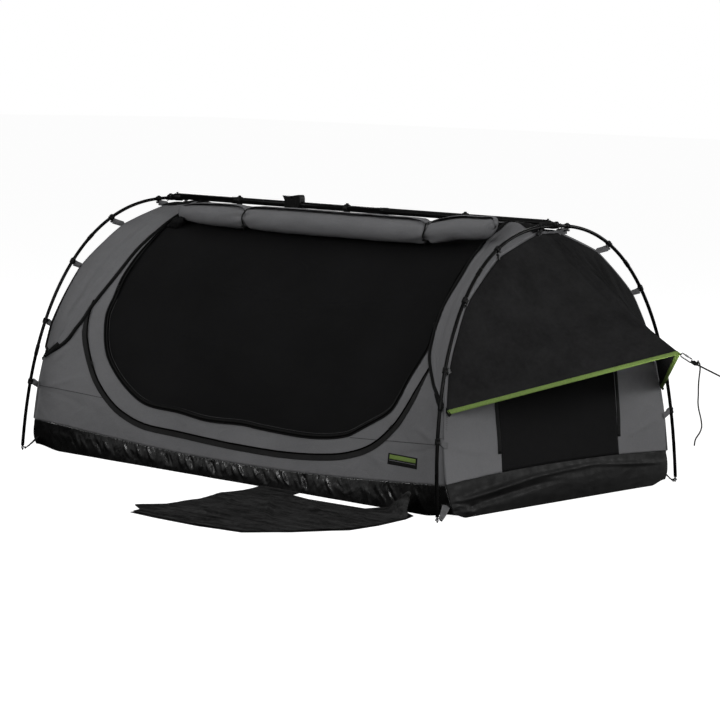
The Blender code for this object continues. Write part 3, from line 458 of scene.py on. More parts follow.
def lathe(form, profile, matrix, sides=24):
    """Adds a solid of revolution: profile is a list of (radius, place along Z), closed at both ends."""
    base = len(form.verts)
    for radius, height in profile:
        for k in range(sides):
            t = tau * k / sides
            form.verts.append(matrix @ Vector((radius * cos(t), radius * sin(t), height)))
    form.skin(base, len(profile), sides)


def soft_box(form, size, matrix, bevel=0.15):
    """Adds a box with bevelled edges."""
    bm = bmesh.new()
    bmesh.ops.create_cube(bm, size=1.0)
    bmesh.ops.scale(bm, vec=Vector(size), verts=bm.verts)
    bmesh.ops.bevel(bm, geom=list(bm.edges), offset=min(size) * bevel, segments=2, affect="EDGES",
                    profile=0.6)
    base = len(form.verts)
    bm.verts.index_update()
    form.verts.extend(matrix @ v.co for v in bm.verts)
    form.faces.extend(tuple(base + v.index for v in face.verts) for face in bm.faces)
    bm.free()


def turns(count):
    """Evenly spaced angles round a full circle."""
    return [tau * i / count for i in range(count)]


def frame_of(x_axis, y_axis, z_axis, origin):
    matrix = Matrix((x_axis, y_axis, z_axis)).transposed().to_4x4()
    matrix.translation = origin
    return matrix


# The tent's form, as in part.py.
def end_x(z):
    return FOOT_X - HOOP_LEAN * z


def cloth_end_x(z):
    return CLOTH_FOOT_X - CLOTH_LEAN * z


def superellipse(angle, half_width, height, side_power, top_power):
    y = half_width * abs(sin(angle)) ** (2 / side_power)
    z = height * abs(cos(angle)) ** (2 / top_power)
    return (y if angle >= 0 else -y), z


def hoop_point(side, angle):
    y, z = superellipse(angle, FOOT_Y, HOOP_HEIGHT, HOOP_SQUARENESS, HOOP_SQUARENESS)
    return Vector((side * end_x(z), y, z))


def tunnel_form(share):
    blend = min(1.0, abs(share)) ** BLEND_POWER
    return (MID_HALF_WIDTH + (END_HALF_WIDTH - MID_HALF_WIDTH) * blend,
            MID_TOP_Z + (END_TOP_Z - MID_TOP_Z) * blend,
            MID_SIDE_POWER + (END_SIDE_POWER - MID_SIDE_POWER) * blend,
            MID_TOP_POWER + (END_TOP_POWER - MID_TOP_POWER) * blend)


def fade(value, low, high):
    """0 below low, 1 above high and smooth between."""
    t = max(0.0, min(1.0, (value - low) / (high - low)))
    return t * t * (3 - 2 * t)


def crown(x, y):
    """How far the ridge clips pull the roof up towards the ridge pole, most in front of its right end."""
    pulled = 0.009 * fade(abs(x), 0.3, 0.75) * (1 - fade(abs(x), 0.86, 0.93)) * exp(-(y / 0.07) ** 2)
    raised = 0.024 * fade(x, 0.60, 0.72) * (1 - fade(x, 0.925, 0.965)) * exp(-((y + 0.048) / 0.030) ** 2)
    return pulled + raised


def share_at(x, z):
    """Distance along from the middle as a share of the way to the canvas's end at a height."""
    return x / (cloth_end_x(z) - END_SEAM)


def tunnel_point(share, angle):
    y, z = superellipse(angle, *tunnel_form(share))
    x = share * (cloth_end_x(z) - END_SEAM)
    return Vector((x, y, z + crown(x, y)))


def tunnel_angle_at_height(share, z):
    half_width, top, side_power, top_power = tunnel_form(share)
    return acos(max(0.0, min(1.0, z / top)) ** (top_power / 2))


def tunnel_angle_at_width(share, y):
    half_width, top, side_power, top_power = tunnel_form(share)
    return asin(min(1.0, y / half_width) ** (side_power / 2))


def tunnel_normal(share, angle):
    step = 0.002
    along = tunnel_point(share + step, angle) - tunnel_point(share - step, angle)
    around = tunnel_point(share, angle + step) - tunnel_point(share, angle - step)
    normal = around.cross(along).normalized()
    return normal if normal.z > 0 or normal.y * angle > 0 else -normal


def tub_long_top(x):
    return TUB_LONG_TOP + TUB_CORNER_RISE * (x / FOOT_X) ** 2


def tub_end_top(y):
    return TUB_END_TOP - TUB_END_DROP * (y / END_HALF_WIDTH) ** 2


def piping_x(z):
    drop = max(0.0, PIPING_TOP - z)
    return PIPING_X + 0.47 * drop ** 2 + 1.97 * drop ** 6


def at_height(table, z):
    """A value between the rows of a table of (height, value)."""
    for (low, first), (high, second) in zip(table, table[1:]):
        if z <= high:
            return first + (second - first) * fade(z, low, high)
    return table[-1][1]


# How far the photographed pipings stray from their even curve, by height.
LEFT_DRIFT = [(0.378, 0.0), (0.435, 0.015), (0.51, 0.001), (0.595, -0.011), (0.705, -0.010), (0.81, -0.015),
              (0.905, -0.008), (0.97, 0.0)]
RIGHT_DRIFT = [(0.378, 0.0), (0.42, 0.007), (0.46, -0.006), (0.55, -0.020), (0.615, -0.012), (0.685, -0.005),
               (0.805, 0.012), (0.90, -0.008), (0.945, -0.030), (0.955, -0.030), (0.975, 0.0)]


def seam_x(side, facing, z):
    """Distance along from the middle to the seam between the walls and a hood."""
    if facing > 0:
        return piping_x(z)
    return piping_x(z) + side * at_height(LEFT_DRIFT if side < 0 else RIGHT_DRIFT, z)


def hoop_inward(angle):
    step = 0.002
    ahead = hoop_point(1, angle + step)
    behind = hoop_point(1, angle - step)
    across = Vector((0, -(ahead.z - behind.z), ahead.y - behind.y)).normalized()
    middle = Vector((0, 0, 0.35))
    return across if across.dot(middle - Vector((0, ahead.y, ahead.z))) > 0 else -across


# Angles on the canvas's end outline at which the webbing tabs meet it.
TAB_ROOTS = [0.135, 0.531, 0.906, 1.236, 1.461]


def edge_dip(angle):
    """How far the cloth's end edge is drawn in between two webbing tabs."""
    turn = abs(angle)
    knots = [-TAB_ROOTS[0]] + TAB_ROOTS
    for low, high in zip(knots, knots[1:]):
        if low <= turn < high:
            share = (turn - low) / (high - low)
            return 0.020 * (high - low) * 4 * share * (1 - share)
    return 0.0


def ripples(point, scale, seed, octaves=3):
    return noise.fractal(Vector(point) * scale + Vector((seed, seed * 1.7, -seed)), 1.0, 2.1, octaves)


def crease(a, b, start, finish, width):
    """A ridge along a line from start to finish in the pattern's plane, fading at both ends."""
    dx, dy = finish[0] - start[0], finish[1] - start[1]
    length = hypot(dx, dy)
    t = ((a - start[0]) * dx + (b - start[1]) * dy) / length ** 2
    if t < 0 or t > 1:
        return 0.0
    off = ((a - start[0]) * dy - (b - start[1]) * dx) / length
    return exp(-(off / width) ** 2) * sin(pi * t)


def wall_point(x, z, facing, lift=0.0):
    share = share_at(x, z)
    angle = facing * tunnel_angle_at_height(share, z)
    point = tunnel_point(share, angle)
    if lift:
        point += tunnel_normal(share, angle) * lift
    return point


def roof_edge(x, facing):
    share = share_at(x, MID_TOP_Z)
    return tunnel_point(share, facing * tunnel_angle_at_width(share, ROOF_HALF_WIDTH + SEAM))


def upper_height(x, t):
    edge = roof_edge(x, 1)
    rise = edge.z - crown(edge.x, edge.y) - HOOD_BOTTOM
    return HOOD_BOTTOM + rise * sin(pi / 2 * t)


LOWER_SHARE = 0.24


def side_flat(u, v, facing):
    """Pattern point (distance along, height) of a long side between the pipings."""
    share = 2 * u - 1
    side = -1 if share < 0 else 1
    if v >= LOWER_SHARE:
        z = upper_height(share * PIPING_X, (v - LOWER_SHARE) / (1 - LOWER_SHARE))
        return share * seam_x(side, facing, z), z
    low = tub_long_top(share * end_x(0.1)) + SEAM
    z = low + (HOOD_BOTTOM - low) * v / LOWER_SHARE
    return share * (cloth_end_x(z) - END_SEAM), z


def in_door(half_width, bottom, start):
    centre_x = half_width - DOOR_CORNER
    centre_z = bottom + DOOR_CORNER
    shoulder = centre_z - DOOR_CORNER * sin(start)

    def inside(x, z):
        if z > shoulder:
            return True
        if abs(x) < centre_x:
            return z > bottom
        return z > bottom and hypot(abs(x) - centre_x, z - centre_z) < DOOR_CORNER
    turns = [start + (pi / 2 - start) * i / 40 for i in range(41)]
    corner = [(centre_x + DOOR_CORNER * cos(t), centre_z - DOOR_CORNER * sin(t)) for t in turns]
    outline = [(-1.2, shoulder)] + [(-x, z) for x, z in corner] + corner[::-1] + [(1.2, shoulder)]
    return inside, outline


def wall_lift(x, z, facing):
    """Soft wrinkles of the canvas round the door and above the tub."""
    near_seam = exp(-(z - tub_long_top(x)) / 0.035)
    lift = 0.0022 * ripples((x, 0, z * 1.4), 5.0, 3.1 * facing)
    lift += 0.0020 * near_seam * ripples((x * 3.0, 0, z), 9.0, 7.7 * facing)
    lift += 0.0016 * exp(-(z - tub_long_top(x)) / 0.07) * noise.noise(Vector((x * 26, z * 2.0, 3.0 + facing)))
    lift += 0.0030 * crease(abs(x), z, (1.05, 0.24), (0.86, 0.31), 0.010)
    lift += 0.0026 * crease(abs(x), z, (1.05, 0.30), (0.90, 0.45), 0.014)
    lift -= 0.0024 * crease(abs(x), z, (1.05, 0.26), (0.74, 0.17), 0.012)
    lift += 0.0022 * crease(x, z, (0.62, 0.20), (0.80, 0.12), 0.010)
    return lift


def door_lift(x, z, facing):
    """Faint long folds of the mesh, hanging from its upper corners."""
    sway = 0.0050 * ripples((x * 0.5, 0, z * 2.2 + 0.35 * x), 2.6, 5.3 * facing)
    sway += 0.0070 * crease(x, z, (-0.70, 0.86), (0.15, 0.64), 0.014)
    sway += 0.0085 * crease(x, z, (-0.55, 0.70), (0.55, 0.66), 0.012)
    sway += 0.0075 * crease(x, z, (-0.10, 0.60), (0.70, 0.74), 0.012)
    sway += 0.0030 * crease(x, z, (-0.70, 0.55), (0.10, 0.45), 0.014)
    return sway - 0.005


# The two zips of the front as photographed: distance along and height, down the left, under and up the right.
INNER_ZIP = [
    (-0.800, 0.930), (-0.806, 0.900), (-0.805, 0.860), (-0.808, 0.800), (-0.813, 0.700),
    (-0.808, 0.625), (-0.8065, 0.545), (-0.764, 0.430), (-0.704, 0.357), (-0.610, 0.288),
    (-0.492, 0.239), (-0.319, 0.2285), (-0.159, 0.2135), (0.015, 0.2185), (0.120, 0.2135),
    (0.295, 0.2085), (0.419, 0.2135), (0.537, 0.2335), (0.615, 0.272), (0.724, 0.336),
    (0.763, 0.394), (0.792, 0.468), (0.8275, 0.537), (0.843, 0.575), (0.838, 0.620),
    (0.826, 0.690), (0.812, 0.800), (0.792, 0.900), (0.790, 0.930),
]
OUTER_ZIP = [
    (-0.886, 0.606), (-0.886, 0.590), (-0.885, 0.525), (-0.872, 0.460), (-0.830, 0.375),
    (-0.775, 0.295), (-0.700, 0.230), (-0.615, 0.185), (-0.490, 0.152), (-0.305, 0.143),
    (-0.135, 0.135), (0.015, 0.130), (0.250, 0.130), (0.450, 0.145), (0.580, 0.170),
    (0.685, 0.215), (0.775, 0.295), (0.830, 0.378), (0.860, 0.440), (0.888, 0.500),
    (0.895, 0.515),
]


def measured_door(route):
    """The test for a point inside a measured zip line, and the line itself."""
    line = [(p.x, p.y) for p in smooth_route([(x, z, 0) for x, z in route], 0.025)]
    shoulder = line[0][1]
    outline = [(-1.3, shoulder)] + line + [(1.3, shoulder)]
    area = [(-1.3, 1.2)] + outline + [(1.3, 1.2)]
    return lambda x, z: in_outline(area, x, z), outline


def side_cloth(name, look, facing, door, lift, nodes, fine, keep_inside):
    inside, outline = door
    columns, rows = fine

    def place(x, z):
        side = -1 if x < 0 else 1
        if z >= upper_height(x * PIPING_X / seam_x(side, facing, z), 1.0) - 0.0003:
            return roof_edge(x, facing)
        return wall_point(x, z, facing, lift(x, z, facing))

    def wanted(x, z):
        return inside(x, z) == keep_inside
    offset = -1.0 if facing < 0 else 1.0
    cut_cloth(name, look, columns, rows, lambda u, v: side_flat(u, v, facing), place, wanted, outline,
              CLOTH_THICK, offset, nodes)


def build_sides():
    mesh_door = measured_door(INNER_ZIP)
    zip_door = in_door(ZIP_HALF_WIDTH, ZIP_BOTTOM, ZIP_START)
    def back_lift(x, z, facing):
        return 0.8 * door_lift(x, z, facing) + 0.002
    side_cloth("front_wall_canvas", "canvas", -1, mesh_door, wall_lift, ["front_wall"], (260, 150), False)
    side_cloth("door_mesh_cloth", "mesh", -1, mesh_door, door_lift, ["door_mesh"], (160, 90), True)
    side_cloth("back_wall_canvas", "canvas", 1, zip_door, wall_lift, ["back_wall"], (220, 130), False)
    side_cloth("back_door_canvas", "canvas", 1, zip_door, back_lift, ["back_door"], (120, 70), True)


def hood_cloth(side, word):
    rows = 110
    columns = 40
    top_rows = 4

    def place(u, v):
        step = (2 * v - 1) * (rows + top_rows)
        facing = -1 if step < 0 else 1
        row = rows + top_rows - abs(step)
        if row >= rows - 0.001:
            x = PIPING_X + (cloth_end_x(END_TOP_Z) - END_SEAM - PIPING_X) * u
            share = side * share_at(x, MID_TOP_Z)
            width = ROOF_HALF_WIDTH * abs(step) / top_rows
            angle = facing * tunnel_angle_at_width(share, width)
            point = tunnel_point(share, angle)
            normal = tunnel_normal(share, angle + 0.0001 * facing)
        else:
            t = row / rows
            edge = upper_height(PIPING_X, t)
            inner = seam_x(side, facing, edge)
            z = upper_height(inner + (cloth_end_x(edge) - inner) * u, t)
            x = seam_x(side, facing, z) * (1 - u) + (cloth_end_x(z) - END_SEAM) * u
            share = side * share_at(x, z)
            angle = facing * tunnel_angle_at_height(share, z)
            point = tunnel_point(share, angle)
            normal = tunnel_normal(share, angle)
        dip = edge_dip(angle) * u ** 3
        turn = abs(angle)
        long_fold = (u * 0.9 - turn * 0.25, turn * 0.35, side * 2)
        short_fold = (u * 2.2 - turn * 0.5, turn * 0.6, side * 3)
        folds = 0.0052 * sin(pi * u) * ripples(long_fold, 3.2, 11.0 * facing)
        folds += 0.0034 * sin(pi * u) * ripples(short_fold, 4.0, 17.0 * facing)
        return point + normal * (folds - dip)
    cloth("hood_%s_canvas" % word, "canvas", columns, 2 * (rows + top_rows), place, CLOTH_THICK,
          -1.0 if side > 0 else 1.0, ["hood_" + word])


def build_roof():
    def place(u, v):
        x = (2 * u - 1) * PIPING_X
        share = share_at(x, MID_TOP_Z)
        y = ROOF_HALF_WIDTH * (2 * v - 1)
        angle = (1 if y >= 0 else -1) * tunnel_angle_at_width(share, abs(y))
        return tunnel_point(share, angle)
    return cloth("roof_strip_canvas", "canvas", 160, 10, place, CLOTH_THICK, -1.0, ["roof_strip"])


def arch_point(angle, inset=0.0, dip=1.0):
    """A point in Y and Z on the end's outline, drawn in between the webbing tabs."""
    half_width, height = END_HALF_WIDTH - inset, END_TOP_Z - inset
    y, z = superellipse(angle, half_width, height, END_SIDE_POWER, END_TOP_POWER)
    step = 0.004
    ahead = superellipse(angle + step, half_width, height, END_SIDE_POWER, END_TOP_POWER)
    behind = superellipse(angle - step, half_width, height, END_SIDE_POWER, END_TOP_POWER)
    away = Vector((-(ahead[1] - behind[1]), ahead[0] - behind[0])).normalized()
    if away.dot(Vector((y, z - 0.3))) < 0:
        away.negate()
    drawn = edge_dip(angle) * dip
    return y - away.x * drawn, z - away.y * drawn


def arch_table(side_steps=90):
    """The end's outline from the front corner over to the back one."""
    low_angle = acos((tub_end_top(END_HALF_WIDTH) / END_TOP_Z) ** (END_TOP_POWER / 2))
    return [arch_point(low_angle * (2 * i / side_steps - 1)) for i in range(side_steps + 1)]


ARCH = arch_table()


def arch_height(y):
    for (ay, az), (by, bz) in zip(ARCH, ARCH[1:]):
        if ay <= y <= by:
            return az + (bz - az) * (y - ay) / max(1e-9, by - ay)
    return ARCH[0][1]


def panel_lift(y, z):
    """Soft wrinkles of an end panel, most near its lower corners."""
    lift = 0.0062 * ripples((y, 0, z), 4.5, 21.0)
    lift += 0.0045 * crease(abs(y), z, (0.64, 0.26), (0.40, 0.20), 0.012)
    lift += 0.0040 * crease(abs(y), z, (0.62, 0.45), (0.42, 0.30), 0.014)
    lift -= 0.0022 * crease(y, z, (-0.60, 0.30), (-0.40, 0.42), 0.012)
    return lift


def window_wave(z, seed):
    return 0.0028 * noise.noise(Vector((0.0, seed, z * 9)))


def build_end(side, word):
    reach = ARCH[-1][0]

    def flat(u, v):
        y = reach * sin(pi / 2 * (2 * u - 1))
        low = tub_end_top(y)
        return y, low + (arch_height(y) - low) * v

    def place(y, z):
        return Vector((side * (cloth_end_x(z) + 0.0022 + panel_lift(y * side, z)), y, z))

    def outside(y, z):
        return abs(y) > WINDOW_HALF_WIDTH or z > WINDOW_TOP
    hole = [(-WINDOW_HALF_WIDTH, 0.0), (-WINDOW_HALF_WIDTH, WINDOW_TOP), (WINDOW_HALF_WIDTH, WINDOW_TOP),
            (WINDOW_HALF_WIDTH, 0.0)]
    cut_cloth("end_panel_%s_canvas" % word, "canvas", 130, 90, flat, place, outside, hole, CLOTH_THICK,
              1.0 if side < 0 else -1.0, ["end_panel_" + word])

    def window(u, v):
        y = (WINDOW_HALF_WIDTH - 0.001) * (2 * u - 1)
        low = tub_end_top(y) + 0.001
        z = low + (WINDOW_TOP - 0.001 - low) * v
        fold = 0.0018 * ripples((y * 0.6, 0, z), 5.0, 31.0) * sin(pi * u) * sin(pi * v)
        return Vector((side * (cloth_end_x(z) + 0.0010 + fold), y, z))
    cloth("end_mesh_%s_cloth" % word, "mesh", 60, 44, window, MESH_THICK, 1.0 if side < 0 else -1.0,
          ["end_mesh_" + word])
    form = Form()
    middle = WINDOW_HALF_WIDTH + 0.001 + TAPE_WIDTH / 2
    path = [(-middle, FLAP_TAPE_BOTTOM + i * 0.014) for i in range(31)]
    top = WINDOW_TOP + 0.001 + TAPE_WIDTH / 2
    path += [(-middle + 2 * middle * i / 40, top) for i in range(41)]
    path += [(middle, FLAP_TAPE_BOTTOM + (30 - i) * 0.014) for i in range(31)]
    points = []
    for y, z in path:
        z = min(z, top)
        points.append(Vector((side * (cloth_end_x(z) + CANVAS + 0.0012 + panel_lift(y * side, z)),
                              y + window_wave(z, 3.0 if y < 0 else 8.0), z)))
    ribbon(form, points, Vector((side, 0, CLOTH_LEAN)), TAPE_WIDTH / 2, 0.0011)
    form.piece("window_tape_%s_weave" % word, "tape", ["window_tape_" + word])


def ribbon(form, points, facing, half, thick):
    """Adds a flat band with rounded edges; facing is its outer side's direction, or a list of one a point."""
    count = len(points)
    base = len(form.verts)
    profile = [(-1.0, -0.5), (-1.0, 0.3), (-0.9, 0.5), (-0.5, 0.5), (0.0, 0.5), (0.5, 0.5), (0.9, 0.5),
               (1.0, 0.3), (1.0, -0.5)]
    for i, point in enumerate(points):
        along = (points[min(i + 1, count - 1)] - points[max(i - 1, 0)]).normalized()
        out = Vector(facing[i] if isinstance(facing, list) else facing)
        out = (out - along * along.dot(out)).normalized()
        across = along.cross(out)
        wide = half(i / (count - 1)) if callable(half) else half
        form.verts.extend(point + across * (a * wide) + out * (b * thick) for a, b in profile)
    form.skin(base, count, len(profile))


def along_path(points, spacing):
    """The points of a path at an even spacing."""
    result = [Vector(points[0])]
    rest = spacing
    for start, finish in zip(points, points[1:]):
        start, finish = Vector(start), Vector(finish)
        length = (finish - start).length
        while rest <= length:
            result.append(start.lerp(finish, rest / length))
            rest += spacing
        rest -= length
    return result


def stitches(form, points, out, pitch=0.007, radius=0.0005):
    """Adds a row of stitches that lie on the cloth along a path."""
    dots = along_path(points, pitch / 2)
    for start, finish in zip(dots[::2], dots[1::2]):
        lift = Vector(out) * radius * 0.3
        sweep(form, [start + lift, (start + finish) / 2 + lift * 2.5, finish + lift], radius, 4)


def build_seams():
    """The raised seam round each end, with its stitches."""
    for side, word in SIDES:
        form = Form()
        edge = [Vector((side * (cloth_end_x(z) + 0.0006), y, z)) for y, z in arch_table(150)]
        for leg in (-1, 1):
            low = [point for point in edge
                   if point.y * leg > 0 and (side > 0 or point.z < AWNING_CORNER_Z + 0.01)]
            sweep(form, low, 0.0028, 8)
        form.piece("end_seam_" + word, "canvas")
        form = Form()
        if side < 0:
            for leg in (-1, 1):
                hem = [point + Vector((-0.0030, 0, 0)) for point in edge
                       if point.y * leg > 0 and AWNING_CORNER_Z - 0.006 < point.z < 0.74]
                hem.sort(key=lambda point: point.z)
                hem[0] += Vector((0.004, -leg * 0.010, 0.003))
                sweep(form, hem, lambda s: 0.0055 * min(1.0, 0.5 + 8 * s) * (1 - 0.85 * s ** 2), 10)
            form.piece("awning_hem_left", "tape")
        form = Form()
        for inset in (0.008, 0.013):
            line = []
            for i in range(181):
                y, z = arch_point(1.42 * (2 * i / 180 - 1), inset)
                line.append(Vector((side * (cloth_end_x(z) + 0.0024 + panel_lift(y * side, z)), y, z)))
            stitches(form, line, (side, 0, 0))
        form.piece("end_stitches_" + word, "cord")


def open_awning_point(turn, v):
    arch = sewn_edge(1, turn)
    corner = free_corner(1, -1 if turn < 0 else 1)
    edge = corner.lerp(AWNING_TIP, 1 - abs(turn))
    sag = AWNING_SAG * sin(pi * v) * (1 - abs(turn) ** 3)
    point = arch.lerp(edge, v) + Vector((-0.5, 0, -0.85)) * sag
    span = sin(pi * min(1.0, v * 1.02)) * (1 - abs(turn) ** 4)
    folds = 0.0
    for start, finish, width, depth in AWNING_FOLDS:
        folds += depth * crease(turn, v, start, finish, width)
    folds += 0.0022 * ripples((turn * 1.2, v * 0.5, 0), 2.6, 41.0) * span
    return point + Vector((0.5, 0, 0.85)) * folds


AWNING_FOLDS = [((0.005, 0.02), (-0.010, 0.80), 0.012, 0.0190), ((0.060, 0.03), (0.025, 0.66), 0.012, 0.0150),
                ((0.14, 0.0), (0.06, 0.72), 0.012, 0.0190), ((0.26, 0.0), (0.12, 0.74), 0.012, 0.0190),
                ((0.36, 0.0), (0.24, 0.55), 0.012, 0.0170), ((0.50, 0.0), (0.40, 0.45), 0.013, 0.0130),
                ((-0.09, 0.04), (-0.05, 0.55), 0.014, 0.0100), ((-0.57, 0.55), (-0.62, 0.92), 0.013, 0.0100),
                ((-0.30, 0.10), (-0.35, 0.50), 0.020, 0.0070), ((-0.45, 0.05), (-0.42, 0.35), 0.014, 0.0070)]


def sewn_edge(side, turn):
    height = END_TOP_Z - AWNING_INSET
    low_angle = acos((AWNING_CORNER_Z / height) ** (END_TOP_POWER / 2))
    y, z = arch_point(low_angle * turn, AWNING_INSET)
    return Vector((side * (cloth_end_x(z) + 2 * CANVAS + GAP), y, z))


def free_corner(side, leg):
    return sewn_edge(side, leg) + Vector((side * 0.012, 0, -0.012))


def closed_awning_point(turn, v):
    arch = sewn_edge(-1, turn)
    corner = free_corner(-1, -1 if turn < 0 else 1)
    drop = (corner.z - CLOSED_AWNING_TIP_Z) * (1 - turn ** 2)
    swing = CLOSED_AWNING_SWING * (1 - turn ** 2) * (0.75 + 0.25 * cos(3 * pi * turn))
    edge_z = corner.z - drop
    edge = Vector((-(cloth_end_x(edge_z) + 0.014 + swing), corner.y * abs(turn), edge_z))
    belly = 0.02 * sin(pi * v) * (1 - turn ** 2)
    folds = 0.007 * v * (1 - turn ** 2) * sin(5 * pi * turn + 1.5 * v)
    folds += 0.004 * sin(pi * v) * ripples((turn, v * 0.4, 0), 2.5, 43.0)
    return arch.lerp(edge, v) + Vector((-belly - folds, 0, 0))


BINDING_WIDTH = 0.017


def binding_share(point, turn):
    """The share of an awning's depth at which its binding starts, so that it is equally wide all along."""
    side = -1 if turn < 0 else 1
    turn = side * max(0.02, abs(turn))
    near, far = point(turn, 0.0), point(turn, 1.0)
    along = (point(turn, 1.0) - point(turn - side * 0.01, 1.0)).normalized()
    depth = (far - near).cross(along).length
    return max(0.02, 1 - BINDING_WIDTH / max(depth, 1e-6))


def build_awnings():
    for word, point, side, columns, rows in (("right", open_awning_point, 1, 330, 60),
                                             ("left", closed_awning_point, -1, 160, 40)):
        inward = 1.0 if side > 0 else -1.0
        shares = [binding_share(point, 2 * i / 220 - 1) for i in range(221)]

        def place(u, v, point=point, shares=shares):
            return point(2 * u - 1, v * min(0.995, shares[min(220, round(u * 220))] + 0.01))
        cloth("awning_%s_cloth" % word, "awning", columns, rows, place, CLOTH_THICK, inward,
              ["awning_" + word])
        form = Form()
        edge, out = [], []
        for i in range(221):
            turn = 2 * i / 220 - 1
            near, far = point(turn, shares[i]), point(turn, 1.0)
            step = point(min(1.0, turn + 0.01), 0.97) - point(max(-1.0, turn - 0.01), 0.97)
            normal = (point(turn, 1.0) - point(turn, 0.9)).cross(step).normalized()
            if normal.x * side < 0:
                normal.negate()
            edge.append((near, far))
            out.append(normal)
        profile = [(0.0, 1.3), (0.25, 1.6), (0.8, 1.6), (0.97, 1.1), (1.0, -0.2), (0.97, -1.5), (0.8, -2.0),
                   (0.25, -2.0), (0.0, -1.7)]
        for (near, far), normal in zip(edge, out):
            form.verts.extend(near.lerp(far, share) + normal * (height * 0.001) for share, height in profile)
        size = len(profile)
        form.skin(0, 221, size, caps=False)
        form.faces.append(tuple(range(size)))
        form.faces.append(tuple(220 * size + k for k in range(size)))
        form.piece("awning_%s_binding" % word, "green", ["awning_trim_" + word])
        form = Form()
        for share in (0.15, 0.85):
            line = [near.lerp(far, share) + normal * 0.0017 for (near, far), normal in zip(edge, out)]
            stitches(form, line, (0, 0, 1), 0.006, 0.0004)
        form.piece("awning_%s_stitches" % word, "green")
        form = Form()
        for leg in (-1, 1):
            corner = point(leg, 1.0)
            fold = [corner + Vector((side * 0.004, 0, -0.004)), corner + Vector((-side * 0.012, 0, 0.010)),
                    corner + Vector((-side * 0.040, leg * 0.010, 0.046))]
            ribbon(form, fold, (side * 0.3, leg, 0.2), 0.006, 0.0022)
        if side > 0:
            tip = AWNING_TIP + Vector((-0.024, 0, 0.0015))
            pull = [tip, tip + Vector((0.010, 0, -0.0010)), AWNING_TIP + Vector((-0.003, 0, -0.0005))]
            ribbon(form, pull, (0.4, 0, 1), 0.005, 0.0040)
        form.piece("awning_%s_tabs" % word, "tape")


def crinkle(a, b, seed):
    """Sharp-edged folds of stiff glossy cloth."""
    p = Vector((a * 8 + b * 8, b * 15 - a * 2, seed))
    q = Vector((a * 17 - b * 10, b * 24 + a * 6, seed + 5))
    r = Vector((a * 34 + b * 20, b * 40, seed + 9))
    first = 1 - 2.6 * abs(noise.noise(p))
    second = 1 - 2.6 * abs(noise.noise(q))
    third = noise.noise(r)
    return 0.55 * first + 0.30 * second + 0.15 * third


def corner_pull(share, power, v):
    return CORNER_PULL * abs(share) ** power * sin(pi * (0.32 + 0.68 * v))


def tub_creases(seed):
    """Short slanting folds along a tub side: their start and finish in X and Z, width and depth."""
    folds = []
    for i in range(58):
        x = -1.04 + 2.08 * i / 57 + 0.020 * noise.noise(Vector((i * 1.7, seed, 0.3)))
        lean = 0.050 + 0.030 * noise.noise(Vector((i * 2.3, seed, 4.1)))
        top = 0.085 + 0.025 * noise.noise(Vector((i * 3.1, seed, 7.7)))
        bottom = 0.020 + 0.018 * noise.noise(Vector((i * 1.3, seed, 9.2)))
        depth = 0.0100 * noise.noise(Vector((i * 4.7, seed, 2.9))) * 2
        width = 0.0065 + 0.003 * noise.noise(Vector((i * 5.1, seed, 5.6)))
        folds.append(((x, top), (x + lean, bottom), width, depth))
    return folds


